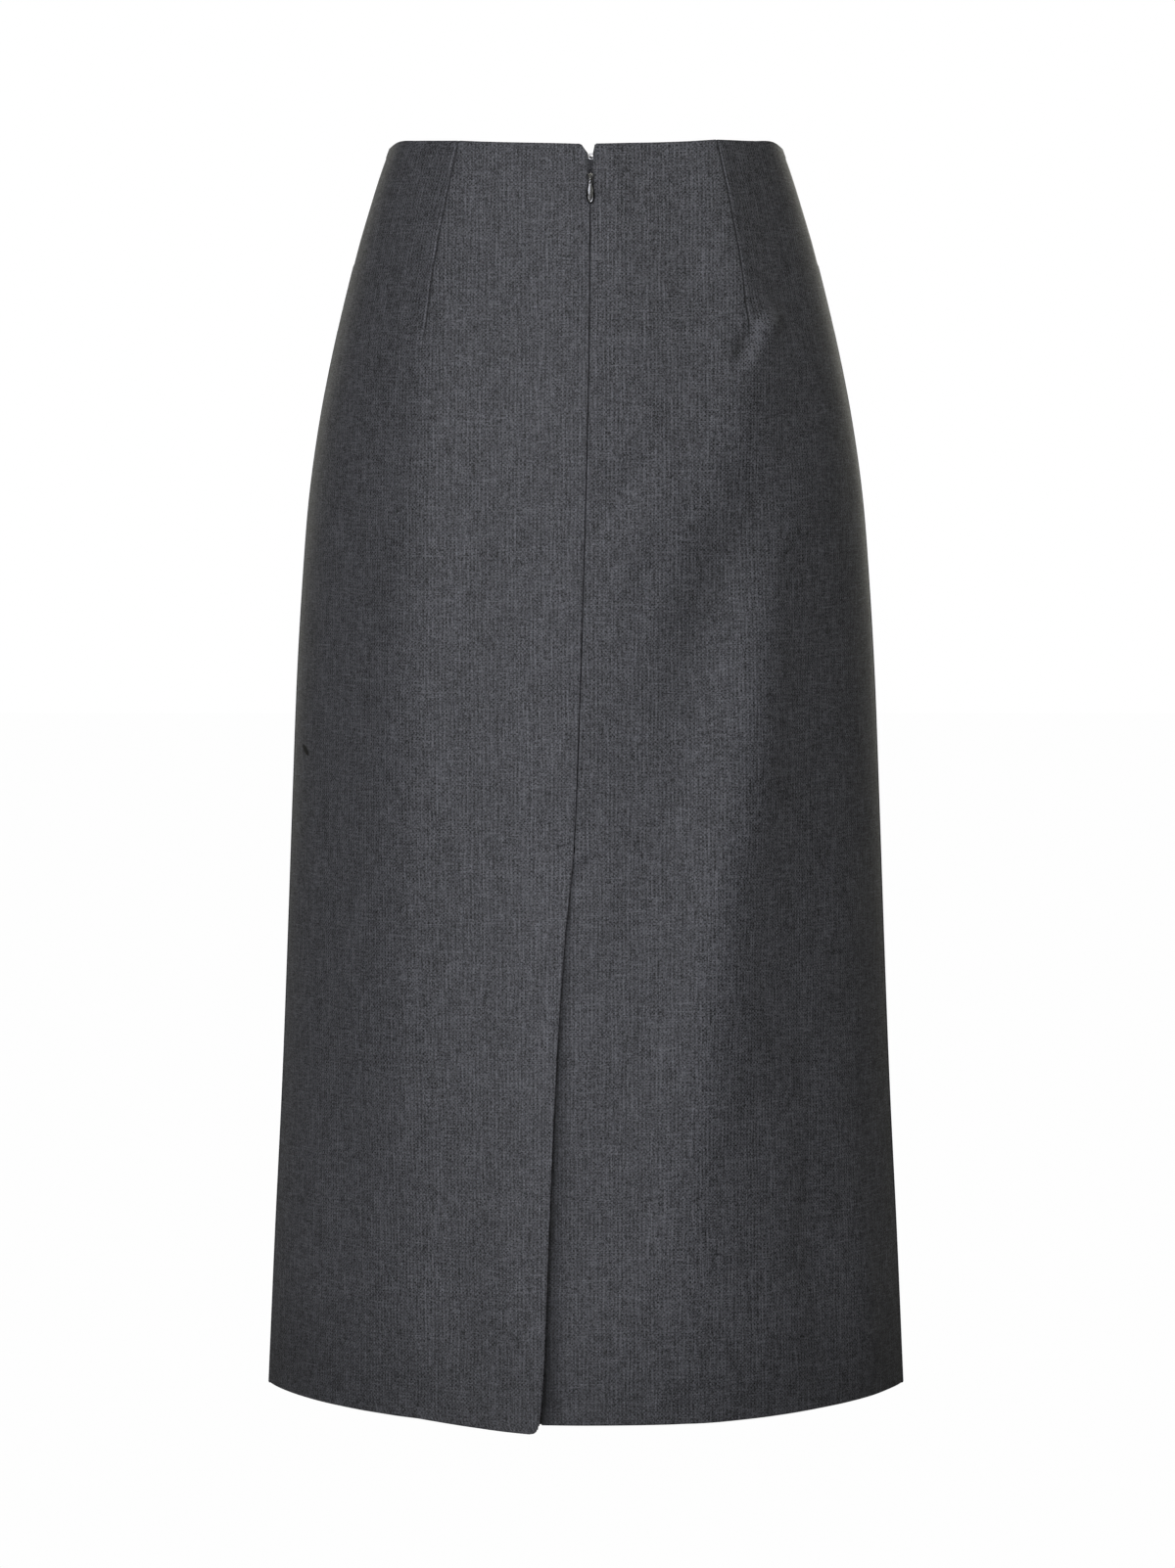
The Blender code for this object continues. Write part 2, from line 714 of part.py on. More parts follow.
def make_pull(place):
    """A drop-shaped tab; its origin is the axis of its crossbar, which hangs in the bridge."""
    Width = namedtuple("Width", "up half")
    outline = (
        Width(PULL_BAR, 1.15),
        Width(-2.2, 1.30),
        Width(-4.4, 1.60),
        Width(-6.4, 2.05),
        Width(-8.6, 2.45),
        Width(-11.0, 2.55),
        Width(-13.2, 2.15),
        Width(-14.9, 1.25),
        Width(PULL_TIP, 0.0),
    )
    right = [(row.half, row.up) for row in outline]
    left = [(-x, up) for x, up in right[-2::-1]]
    hole = [
        (PULL_HOLE_HALF, -PULL_BAR),
        (-PULL_HOLE_HALF, -PULL_BAR),
        (-PULL_HOLE_HALF, PULL_HOLE_LOW + 0.6),
        (-PULL_HOLE_HALF * 0.5, PULL_HOLE_LOW),
        (PULL_HOLE_HALF * 0.5, PULL_HOLE_LOW),
        (PULL_HOLE_HALF, PULL_HOLE_LOW + 0.6),
    ]
    curve = bpy.data.curves.new("zip_pull", "CURVE")
    curve.dimensions = "2D"
    curve.fill_mode = "BOTH"
    curve.extrude = PULL_THICK / 2 * MM
    for points in (right + left, hole):
        spline = curve.splines.new("POLY")
        spline.points.add(len(points) - 1)
        spline.use_cyclic_u = True
        for target, (x, up) in zip(spline.points, points):
            target.co = (x * MM, up * MM, 0.0, 1.0)
    flat = bpy.data.objects.new("zip_pull", curve)
    parts.objects.link(flat)
    flat.matrix_world = place @ Matrix.Rotation(math.radians(90), 4, "X")
    pull = closed_mesh(flat)
    pull.data.materials.append(make_material("pull_enamel", DARK_ENAMEL, 0.2, 0.6))
    return pull


def make_hook_and_eye(place):
    """A wire eye sewn to the right of the opening, and a wire hook on the left that holds it."""
    eye_points = [(EYE_LEG, EYE_IN, EYE_RADIUS)]
    for index in range(13):
        turn = math.radians(90 + 180 * index / 12)
        eye_points.append((EYE_RADIUS * math.cos(turn), EYE_IN, EYE_RADIUS * math.sin(turn)))
    eye_points.append((EYE_LEG, EYE_IN, -EYE_RADIUS))
    eye = wire("eye", eye_points, EYE_WIRE, parts)
    eye.matrix_world = place
    eye = closed_mesh(eye)
    eye.data.materials.append(make_material("eye_metal", STEEL, 0.25, 1.0))

    behind = EYE_IN + EYE_WIRE + HOOK_WIRE + 0.3
    hook_points = [
        (-8.5, behind, 0.0),
        (-1.2, behind, 0.0),
        (-0.2, behind - 0.1, 0.0),
        (0.1, EYE_IN, 0.0),
        (-0.2, EYE_IN - 1.0, 0.0),
        (-0.9, EYE_IN - 1.35, 0.0),
    ]
    hook = wire("hook", hook_points, HOOK_WIRE, parts)
    hook.matrix_world = place
    hook = closed_mesh(hook)
    hook.data.materials.append(make_material("hook_metal", STEEL, 0.25, 1.0))


# ---------------------------------------------------------------- build
for old in list(bpy.data.objects):
    bpy.data.objects.remove(old)
parts = bpy.data.collections.new(PART_NAME)
cutters = bpy.data.collections.new("cutters")
bpy.context.scene.collection.children.link(parts)
bpy.context.scene.collection.children.link(cutters)

make_front()
make_back_left()
make_back_right()
make_tape("zip_tape_left", -1)
make_tape("zip_tape_right", 1)
make_chain()
pivot_place = zip_matrix(PIVOT_DROP, PIVOT_OUT)
make_slider(pivot_place)
make_pull(pivot_place)
make_hook_and_eye(zip_matrix(EYE_DROP, 0.0))
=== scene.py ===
"""The looks of the slit midi skirt: wool suiting, sewn edges, darts, vent, concealed zip, hook and eye.

Tables are in millimetres and repeat the pattern's sizes; the scene is in metres.  -Y is the wearer's
back, which the photograph shows, and +X is the wearer's right.  A side is -1 for the back left panel,
1 for the back right one and 0 for the front.
"""
import json
from collections import namedtuple
from functools import lru_cache
from math import asin, copysign, cos, pi, radians, sin, sqrt

import bmesh
import bpy
import numpy as np
from mathutils import Matrix, Vector


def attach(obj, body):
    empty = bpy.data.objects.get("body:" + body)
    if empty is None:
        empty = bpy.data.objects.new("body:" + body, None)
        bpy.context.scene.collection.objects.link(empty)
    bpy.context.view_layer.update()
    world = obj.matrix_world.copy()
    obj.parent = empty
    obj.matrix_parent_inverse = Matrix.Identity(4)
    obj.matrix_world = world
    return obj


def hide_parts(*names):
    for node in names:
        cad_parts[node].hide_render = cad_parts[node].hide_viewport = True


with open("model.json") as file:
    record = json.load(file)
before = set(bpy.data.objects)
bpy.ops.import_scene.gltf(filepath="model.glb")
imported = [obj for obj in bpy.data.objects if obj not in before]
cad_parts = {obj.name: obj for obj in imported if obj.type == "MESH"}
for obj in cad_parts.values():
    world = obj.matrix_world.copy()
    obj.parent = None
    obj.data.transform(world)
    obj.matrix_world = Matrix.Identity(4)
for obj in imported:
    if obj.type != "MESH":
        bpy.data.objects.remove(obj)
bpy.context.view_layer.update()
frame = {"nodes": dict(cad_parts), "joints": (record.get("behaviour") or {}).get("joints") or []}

scene = bpy.context.scene
MM = 0.001
pivot = Vector(frame["joints"][0]["pos_m"])


def add_object(name, data):
    made = bpy.data.objects.new(name, data)
    scene.collection.objects.link(made)
    return made


# ---- camera
CAMERA_PLACE = (0.001, -3.2, -0.150)
CAMERA_TILT = 4.46  # degrees below the horizon
CAMERA_LENS = 117.22  # mm, on a 36 mm sensor

camera = add_object("camera", bpy.data.cameras.new("camera"))
camera.location = CAMERA_PLACE
camera.rotation_euler = (radians(90 - CAMERA_TILT), 0.0, 0.0)
camera.data.lens = CAMERA_LENS
camera.data.sensor_width = 36.0
scene.camera = camera


def table(fields, *rows):
    """Rows with named columns."""
    row_type = namedtuple("Row", fields)
    return tuple(row_type(*row) for row in rows)


# ---- pattern sizes (mm)
SKIRT_LENGTH = 780.0
SEAM_GAP = 0.04  # between two pressed edges that are sewn together
WAIST_FADE = 60.0  # the waist edge's curve dies out over this drop
VENT_TOP = 430.0
VENT_START = 12.0  # the vent's layers part over this drop
VENT_RETURN_WIDTH = 38.0
VENT_RETURN_START = 30.0  # the flap's turned-in layer widens over this drop, above the vent
UNDERLAP_WIDTH = 40.0
UNDERLAP_EASE = 24.0
LAYER_STACK = 3.2  # from the flap's face to the underlap's
FLAP_PROUD = 12.0  # how far the vent's lower corner stands off the figure
FLAP_RISE = 0.75  # exponent of its growth down the vent
FLAP_SPREAD = 48.0
FLAP_HANG = 4.0  # how much lower the flap's corner hangs
FLAP_HANG_WIDTH = 75.0
FLAP_CORNER = 5.0  # radius of the flap's lower corner
FLAP_CORNER_SHARE = 0.8  # of that round, as the cloth is too thick for all of it
ZIP_LENGTH = 186.0

# Zip, hook and eye, in the frames that lie along the opening.
PULL_THICK = 0.8
PULL_BAR = 0.4  # half height of the crossbar
PULL_SLOT = 0.5  # half width of the slot
PULL_SLOT_LOW = -2.6
PULL_WIDEST = 10.8  # below the crossbar
PULL_FOOT = 5.1  # from there to the tip
PULL_CROWN = 0.16
PULL_BOW = 0.42  # how far the face falls back towards the crossbar, above PULL_BOW_FROM
PULL_BOW_FROM = 10.5
PULL_RIM_NARROWS = 7.56  # above this the rim narrows, to PULL_RIM_NARROWEST of its width
PULL_RIM_NARROWEST = 0.45
PULL_POINTS = 112
PULL_FACE_STEPS = 12
PULL_WIDTHS = table("down half", (-0.4, 1.15), (2.2, 1.30), (4.4, 1.60), (6.4, 2.05), (8.6, 2.45), (10.8, 2.55))
PULL_RIM = table("inset out", (0.00, 0.08), (0.06, 0.28), (0.22, 0.38), (0.48, 0.40), (0.76, 0.34), (0.92, 0.24))
PULL_BACK = table("inset out", (0.3, -0.4), (0.06, -0.2))
ZIP_LEAN = 12.353  # degrees that the cloth leans back at the pull
EYE_PLACE = (2.75, -94.436, -11.076)
EYE_LEAN = 10.545
EYE_RADIUS = 1.5
EYE_WIRE = 0.4
EYE_LEG = 6.5
EYE_IN = 3.25
HOOK_WIRE = 0.35
HOOK_GAP = 0.3
HOOK_SHANK = (-8.5, -0.6)  # x of its ends
HOOK_BEND = 0.75
ZIP_TOP = 2.5
TAPE_DEPTH = 1.7
TAPE_THICK = 0.5
TAPE_STEP = 3.0
TAPE_SHIFTS = (12.0, 9.5, 7.0, 4.5, 2.4, 1.2, 0.4)  # its columns, from the opening's edge
COIL_START = 33.5
COIL_PITCH = 1.2
COIL_WIRE = 0.24
COIL_DEPTH = 2.9
COIL_TURN = (  # one turn of the left coil: x past the seam, depth, share of the pitch
    (-1.9, 0.1, 0.0), (-0.8, 0.05, 0.0), (0.2, 0.1, 0.0), (0.5, 0.45, 0.0), (0.2, 0.85, 0.0),
    (-0.8, 0.95, 0.1), (-1.9, 0.9, 0.3), (-2.2, 0.5, 0.65),
)
BAR_TACK = (-17.4, -9.0)  # x of its ends
BAR_TACK_DROP = 426.5
BAR_TACK_RISE = 2.6
STITCHES = 8
STITCH_HALF = 0.75
STITCH_SLANT = 0.35
THREAD = 0.17
WIRE_END_REACH = 0.6  # how far a wire's rounded end stands out, in radii
WIRE_END_SIZE = 0.55

# How the cloth is sewn, and how finely it is drawn.
CLOTH_THICK = 0.45
FOLD_RADIUS = 0.7  # outer radius of a pressed edge
HEM_RADIUS = 0.75
FOLD_TURNS = 5
SEAM_ALLOWANCE = 12.0
WAIST_LAYER = (3.0, 7.0, 11.0, 14.0)  # drops of the turned-in rows
HEM_LAYER = (3.0, 8.0, 14.0, 20.0, 27.0, 34.0, 40.0)  # and of the turned-up ones, above the hem
SEAM_LAYER = (1.2, 2.4, 4.0)  # degrees from a side seam
CENTRE_LAYER = (0.1, 0.3, 0.5, 0.75, 1.0)  # shares of the turned-in width
LAP_LAYER = (0.02, 0.06, 0.15, 0.3, 0.5, 0.75, 1.0)  # shares of the underlap's width
DART_CREASE_DEPTH = 1.1
DART_CREASE_HALF = 0.75
DART_CREASE_GROWTH = 4.0  # the crease has its whole depth above 3/4 of the dart
DART_BEND_GROWTH = 2.5
DART_BEND_HALF = 36.0  # how far a dart's bend reaches into the cloth on each side
DART_PRESS = 0.3  # the fold pressed beneath the dart: its height, start and width
DART_PRESS_START = 1.2
DART_PRESS_WIDTH = 7.0
PUCKER_WIDTH = 9.0  # beside the centre seam
PUCKER_START = 1.5
ROW_STEP = 4.0
SIDE_COLUMNS = 52  # between a side seam and a dart
CENTRE_COLUMNS = 40  # between a dart and the centre back
FRONT_COLUMNS = 74  # between the two front darts
SIDE_STEPS = (0.0, 0.45, 0.8, 1.3, 2.2)  # degrees from a side seam
CREASE_STEPS = (1.9, 1.25, 0.75, 0.4, 0.0)  # mm from a dart
EDGE_STEPS = (2.2, 1.3, 0.7, 0.3, 0.0)  # mm from a centre edge
TOP_STEPS = (0.5, 0.8, 1.3, 2.0, 3.0, 4.4, 6.0, 7.2, 9.0, 11.0, 13.5, 16.0)
FOOT_STEPS = (8.0, 5.5, 3.8, 2.6, 1.8, 1.2, 0.75)
DART_COLUMN = len(SIDE_STEPS) + SIDE_COLUMNS + len(CREASE_STEPS) - 2

# Painted shade, from 0 to 1: round the fold of a sewn edge, going in, over its dark stitching; by column
# across a dart, going in, likewise, where below 0 is a painted highlight on its outer side; the flap's
# painted shadow beside its edge; and painted shade darkening down over the turned hem.
SEAM_SHADE = (0.35, 0.9, 1.0, 1.0, 1.0)
DART_SHADES = ((-3, -0.3), (-2, -0.5), (-1, 0.6), (0, 1.0), (1, 0.9), (2, 0.2))
DART_SHADE_GROWTH = 9.0
VENT_SHADE = 0.66
VENT_SHADE_WIDTHS = table("drop width", (430, 0.5), (440, 3.0), (476, 5.4), (535, 9.6), (583, 13.5), (780, 15.0))
HEM_SHADE = 0.36
HEM_SHADE_FROM = 690.0

RINGS = table(
    "drop half_width back front power round",
    (0, 122.0, 93, 88, 2.00, 0.50),
    (17, 127.8, 96, 91, 2.00, 0.50),
    (32, 132.4, 99, 94, 2.00, 0.50),
    (69, 142.9, 106, 99, 2.00, 0.51),
    (119, 155.3, 116, 104, 2.05, 0.53),
    (168, 165.3, 123, 108, 2.10, 0.56),
    (218, 172.6, 127, 111, 2.15, 0.59),
    (267, 176.8, 128, 113, 2.20, 0.62),
    (329, 180.7, 128, 115, 2.25, 0.66),
    (403, 183.8, 128, 118, 2.30, 0.70),
    (496, 187.4, 129, 121, 2.35, 0.74),
    (588, 191.3, 132, 124, 2.40, 0.78),
    (681, 196.2, 135, 127, 2.40, 0.80),
    (780, 200.9, 138, 130, 2.40, 0.80),
)

# Soft crests down the skirt, where its broad back turns to its sides: place as a share of the half
# width, and height over the bare ring.
CREST_COLUMNS = "drop place height"
LEFT_CREST = table(
    CREST_COLUMNS,
    (0, -0.62, 2.0), (60, -0.62, 2.5), (119, -0.61, 4.5), (168, -0.60, 5.5), (267, -0.59, 7.5),
    (403, -0.59, 8.0), (496, -0.61, 6.0), (588, -0.62, 3.5), (681, -0.62, 1.5), (780, -0.62, 0.0),
)
RIGHT_CREST = table(
    CREST_COLUMNS,
    (0, 0.62, 3.0), (60, 0.62, 5.5), (119, 0.61, 8.0), (168, 0.60, 7.0), (218, 0.62, 5.5), (267, 0.62, 6.0),
    (329, 0.58, 9.5), (403, 0.53, 13.0), (496, 0.46, 12.5), (588, 0.40, 8.0), (681, 0.36, 3.5), (780, 0.36, 2.0),
)
FRONT_CREST = table(
    CREST_COLUMNS,
    (0, 0.62, 1.0), (119, 0.62, 4.0), (267, 0.62, 6.0), (403, 0.62, 5.0), (588, 0.62, 2.0), (780, 0.62, 0.0),
)
CRESTS = {"back": ((LEFT_CREST, 1), (RIGHT_CREST, 1)), "front": ((FRONT_CREST, -1), (FRONT_CREST, 1))}
CREST_WIDTH = 0.16
CREST_FADE = 0.1  # share of the half width over which the crests fade at a side seam
FOLD_FADE = 0.05

# The waist's edge: how far it dips below its highest point, by share of the half width.
WAIST_EDGE = table("share dip", (0.0, 4.2), (0.5, 2.5), (0.85, 0.4), (0.94, 0.0), (1.0, 2.9))

# A dart: place as a share of the half width, length, and the bend it gives the cloth.
Dart = namedtuple("Dart", "share length bend")
BACK_DARTS = {-1: Dart(-0.630, 127, 2.0), 1: Dart(0.636, 127, 4.0)}
FRONT_DARTS = {-1: Dart(-0.55, 95, 2.0), 1: Dart(0.55, 95, 2.0)}

ZIP_OPENING = table(
    "drop left right",
    (0, -2.8, 5.4), (6, 1.2, 4.3), (21, 1.2, 4.3), (27, 1.5, 4.0), (33, 2.65, 2.95),
)
CENTRE_BACK = table(
    "drop x",
    (33, 2.8), (150, 1.6), (264, -1.2), (375, -4.7), (430, -7.2),
    (486, -12.5), (560, -17.3), (672, -22.0), (746, -24.7), (780, -27.7),
)

# Soft folds: x and drop at the top, middle and foot, half width and height (troughs are negative).
FOLD_COLUMNS = "x_top drop_top x_mid drop_mid x_foot drop_foot half_width height"
BACK_FOLDS = table(
    FOLD_COLUMNS,
    (44, 172, 25, 210, 7, 248, 12, -1.6),
    (126, 150, 92, 240, 58, 335, 20, -3.4),
    (36, 300, 33, 345, 40, 390, 16, -1.4),
    (108, 215, 108, 320, 104, 450, 15, 2.2),
    (-84, 195, -76, 270, -67, 345, 10, -1.0),
    (-119, 180, -119, 320, -128, 470, 12, 1.2),
    (137, 520, 141, 660, 146, 800, 13, -2.8),
    (160, 425, 160, 465, 166, 510, 12, 1.5),
    (168, 640, 174, 710, 180, 790, 9, 2.0),
    (-74, 660, -66, 730, -58, 800, 24, -2.2),
    (-140, 540, -146, 640, -150, 760, 22, -1.6),
)
FRONT_FOLDS = table(
    FOLD_COLUMNS,
    (-62, 150, -52, 250, -40, 360, 18, -2.4),
    (66, 160, 58, 270, 50, 400, 20, -2.8),
    (-112, 190, -114, 330, -120, 470, 14, 1.8),
    (112, 190, 116, 320, 120, 450, 14, 1.8),
    (-138, 500, -142, 640, -148, 800, 16, -2.6),
    (20, 480, 28, 620, 36, 800, 24, -2.4),
    (128, 520, 136, 660, 142, 800, 15, -2.4),
)
# Small creases, and swellings and dents under the darts, that only the scene draws.
BACK_CREASES = table(
    FOLD_COLUMNS,
    (24, 455, 27, 466, 26, 480, 6, -0.8),
    (18, 590, 20, 600, 19, 615, 7, -0.6),
    (-46, 455, -47, 467, -46, 480, 6, -0.4),
    (66, 758, 62, 772, 56, 790, 5, -0.8),
)
BACK_DIMPLES = table(
    "x drop radius height",
    (-104, 128, 15, 1.0), (108, 122, 16, 1.6), (109, 111, 9, 3.8), (95, 122, 7, -1.6), (-97, 129, 5, -0.6),
)


# ---- small sums
def eased(value):
    """A value's rise from 0 to 1, smooth at both ends."""
    share = np.clip(value, 0.0, 1.0)
    return share * share * (3.0 - 2.0 * share)


def unit(vectors):
    return vectors / np.maximum(np.linalg.norm(vectors, axis=-1, keepdims=True), 1e-9)


def run_along(points):
    """How far along its line each point lies."""
    steps = np.linalg.norm(np.diff(points, axis=-2), axis=-1)
    return np.insert(np.cumsum(steps, axis=-1), 0, 0.0, axis=-1)


def between(first, last, count):
    """Even steps between two values, without either end."""
    return [first + (last - first) * index / count for index in range(1, count)]


def bell(distance, width):
    return np.exp(-(distance / width) ** 2)


# ---- reading the tables
@lru_cache(maxsize=None)
def column(rows, field):
    """A table's first column, another one, and that one's slope at each row."""
    keys = np.array([row[0] for row in rows], dtype=float)
    values = np.array([getattr(row, field) for row in rows], dtype=float)
    beyond_keys, beyond = np.pad(keys, 1, "edge"), np.pad(values, 1, "edge")
    return keys, values, (beyond[2:] - beyond[:-2]) / (beyond_keys[2:] - beyond_keys[:-2])


def straight(rows, key, field):
    """Read a table's column along straight lines between its rows."""
    keys, values, _ = column(rows, field)
    return np.interp(key, keys, values)


def curved(rows, key, field):
    """Read a table's column along a smooth curve through its rows."""
    keys, values, slopes = column(rows, field)
    key = np.clip(key, keys[0], keys[-1])
    row = np.clip(np.searchsorted(keys, key) - 1, 0, len(keys) - 2)
    span = keys[row + 1] - keys[row]
    s = (key - keys[row]) / span
    return ((2 * s ** 3 - 3 * s ** 2 + 1) * values[row] + (s ** 3 - 2 * s ** 2 + s) * slopes[row] * span
            + (3 * s ** 2 - 2 * s ** 3) * values[row + 1] + (s ** 3 - s ** 2) * slopes[row + 1] * span)


@lru_cache(maxsize=None)
def value_at(rows, key, field):
    """One value on such a curve."""
    return float(curved(rows, key, field))


# ---- the cloth's form
def ring(drop, field):
    return value_at(RINGS, drop, field)


def half_width(drop):
    return ring(drop, "half_width")


def vent_edge(drop):
    return value_at(CENTRE_BACK, drop, "x")


def centre_edge(drop, side):
    """x of a back panel's edge along the zip's opening, the centre seam and the vent."""
    if drop < ZIP_OPENING[-1].drop:
        return straight(ZIP_OPENING, drop, "left" if side < 0 else "right")
    return vent_edge(drop) + side * SEAM_GAP / 2


def crest_height(share, drop, face):
    """Height of the soft crests, none right at the side seams."""
    total = np.zeros_like(share)
    for crest, hand in CRESTS[face]:
        across = share - hand * value_at(crest, drop, "place")
        total += value_at(crest, drop, "height") * bell(across, CREST_WIDTH)
    return total * eased((1.0 - np.abs(share)) / CREST_FADE)


def bare(share, drop, face):
    """Points of the bare ring, as x, depth and height, for an array of shares of the half width."""
    body = np.maximum(0.0, 1.0 - np.abs(share) ** ring(drop, "power"))
    depth = ring(drop, face) * body ** ring(drop, "round") + crest_height(share, drop, face)
    return np.stack([share * half_width(drop), depth, np.full_like(share, -drop)], axis=-1)


def bare_normal(share, drop, face):
    step = 0.002
    inner = np.maximum(-1.0, share - step)
    outer = np.minimum(1.0, share + step)
    along = bare(outer, drop, face) - bare(inner, drop, face)
    down = bare(share, drop + 1, face) - bare(share, drop - 1, face)
    return unit(np.cross(along, down))


def fold_height(folds, x, drop):
    total = np.zeros_like(x)
    for fold in folds:
        length = fold.drop_foot - fold.drop_top
        s = (drop - fold.drop_top) / length
        if not 0.0 < s < 1.0:
            continue
        middle = (fold.drop_mid - fold.drop_top) / length
        top_weight = (s - middle) * (s - 1) / middle
        mid_weight = s * (s - 1) / (middle * (middle - 1))
        foot_weight = s * (s - middle) / (1 - middle)
        centre = fold.x_top * top_weight + fold.x_mid * mid_weight + fold.x_foot * foot_weight
        total += fold.height * sin(pi * s) * bell(x - centre, fold.half_width)
    return total


def unevenness(seed, count=40, shortest=18.0, longest=110.0, height=1.1, upright=0.35):
    """Soft unevenness of hanging cloth: a few dozen waves whose sizes and directions are drawn once."""
    draw = np.random.default_rng(seed)
    length = shortest * (longest / shortest) ** draw.random(count)
    angle = (draw.random(count) - 0.5) * pi * (1.0 - upright)
    across = 2 * pi * np.cos(angle) / length
    along = 2 * pi * np.sin(angle) / length
    phase = draw.random(count) * 2 * pi
    heights = height * (length / longest) * draw.random(count) / sqrt(count)
    return lambda x, drop: np.sin(np.outer(x, across) + along * drop + phase) @ heights


back_uneven = unevenness(3)
front_uneven = unevenness(8)
pucker = unevenness(11, 24, 7.0, 26.0, 0.5, 0.0)


def dart_height(x, drop, dart):
    """The bend that a dart gives the cloth, its sharp stitched crease and the fold pressed beneath it."""
    if drop >= dart.length:
        return np.zeros_like(x)
    offset = x - dart.share * half_width(drop)
    reach = 1.0 - drop / dart.length
    near = np.clip(1.0 - np.abs(offset) / DART_BEND_HALF, 0.0, 1.0)
    bend = dart.bend * eased(DART_BEND_GROWTH * reach) * near ** 2
    depth = DART_CREASE_DEPTH * min(1.0, DART_CREASE_GROWTH * reach)
    crease = -depth * np.maximum(0.0, 1.0 - np.abs(offset) / DART_CREASE_HALF)
    inward = -offset * copysign(1.0, dart.share)
    under = eased(inward / DART_PRESS_START) * eased(2.0 - inward / DART_PRESS_WIDTH)
    return bend + crease + DART_PRESS * reach * under


def flap_share(drop):
    return min(1.0, max(0.0, (drop - VENT_TOP) / (SKIRT_LENGTH - VENT_TOP)))


def flap_lift(x, drop):
    away = np.minimum(0.0, x - vent_edge(drop))
    return FLAP_PROUD * flap_share(drop) ** FLAP_RISE * bell(away, FLAP_SPREAD)


def flap_hang(x, drop):
    away = vent_edge(drop) - x
    return FLAP_HANG * flap_share(drop) ** 3 * np.clip(1.0 - away / FLAP_HANG_WIDTH, 0.0, 1.0)


def underlap_depth(x, drop):
    away = np.maximum(0.0, x - vent_edge(drop))
    needed = np.maximum(0.0, LAYER_STACK - flap_lift(x - away, drop))
    start = eased((drop - VENT_TOP) / VENT_START)
    return needed * start * (1.0 - eased(away / UNDERLAP_EASE))


def surface(x, drop, side):
    """Points and outward directions of a panel's face, for an array of x at a drop."""
    face = "back" if side else "front"
    share = np.clip(x / half_width(drop), -1.0, 1.0)
    point = bare(share, drop, face)
    normal = bare_normal(share, drop, face)
    seam_fade = eased((1.0 - np.abs(share)) / FOLD_FADE)
    hang = curved(WAIST_EDGE, np.abs(share), "dip") * max(0.0, 1.0 - drop / WAIST_FADE)
    if side:
        away = x - vent_edge(drop)
        height = fold_height(BACK_FOLDS, x, drop) + fold_height(BACK_CREASES, x, drop)
        height = (height + back_uneven(x, drop)) * seam_fade
        height += pucker(x, drop) * bell(away, PUCKER_WIDTH) * eased(np.abs(away) / PUCKER_START)
        height += dart_height(x, drop, BACK_DARTS[side])
        for tip in BACK_DIMPLES:
            height += tip.height * bell(np.hypot(x - tip.x, drop - tip.drop), tip.radius)
        if side < 0:
            height += flap_lift(x, drop)
            hang += flap_hang(x, drop)
        else:
            height -= underlap_depth(x, drop)
    else:
        height = (fold_height(FRONT_FOLDS, x, drop) + front_uneven(x, drop)) * seam_fade
        for dart in FRONT_DARTS.values():
            height += dart_height(x, drop, dart)
    point += normal * height[:, None]
    point[:, 2] -= hang
    point[:, 1] += SEAM_GAP / 2
    if side:
        mirror = (1.0, -1.0, 1.0)
        return point * mirror, normal * mirror
    return point, normal


def point_inside(x, drop, side, depth):
    """One point at a depth inside a panel."""
    point, normal = surface(np.array([x]), drop, side)
    return (point - normal * depth)[0]


# ---- rows and columns
def drops_down():
    """The drops of every panel's rows."""
    first = TOP_STEPS[-1]
    last = SKIRT_LENGTH - FOOT_STEPS[0]
    middle = between(first, last, round((last - first) / ROW_STEP))
    return np.array([*TOP_STEPS, *middle, *(SKIRT_LENGTH - step for step in FOOT_STEPS)])


DROPS = drops_down()


def spread(first, last, width, count):
    """x at even angles round the form between two x, without either end."""
    return [sin(angle) * width for angle in between(asin(first / width), asin(last / width), count)]


def side_columns(width, side, dart):
    """x of the columns from a side seam to just past a dart."""
    line = dart.share * width
    seam = [side * width * cos(radians(step)) for step in SIDE_STEPS]
    crease = [line + side * step for step in CREASE_STEPS]
    crease += [line - side * step for step in CREASE_STEPS[-2::-1]]
    return seam + spread(seam[-1], crease[0], width, SIDE_COLUMNS) + crease


def columns(drop, side):
    """x of a panel's columns: a back one's from its side seam to its centre edge, the front's all across."""
    width = half_width(drop)
    if not side:
        half = side_columns(width, -1, FRONT_DARTS[-1])
        return np.array(half + spread(half[-1], -half[-1], width, FRONT_COLUMNS) + [-x for x in half[::-1]])
    half = side_columns(width, side, BACK_DARTS[side])
    edge = centre_edge(drop, side) + side * FOLD_RADIUS
    centre = [edge + side * step for step in EDGE_STEPS]
    return np.array(half + spread(half[-1], centre[0], width, CENTRE_COLUMNS) + centre)


def row_of(drop, side):
    """A row's points and directions; its side seams are moved in, so that the pressed fold ends on the line."""
    point, normal = surface(columns(drop, side), drop, side)
    point[[0] if side else [0, -1], 1] += -FOLD_RADIUS if side else FOLD_RADIUS
    return point, normal


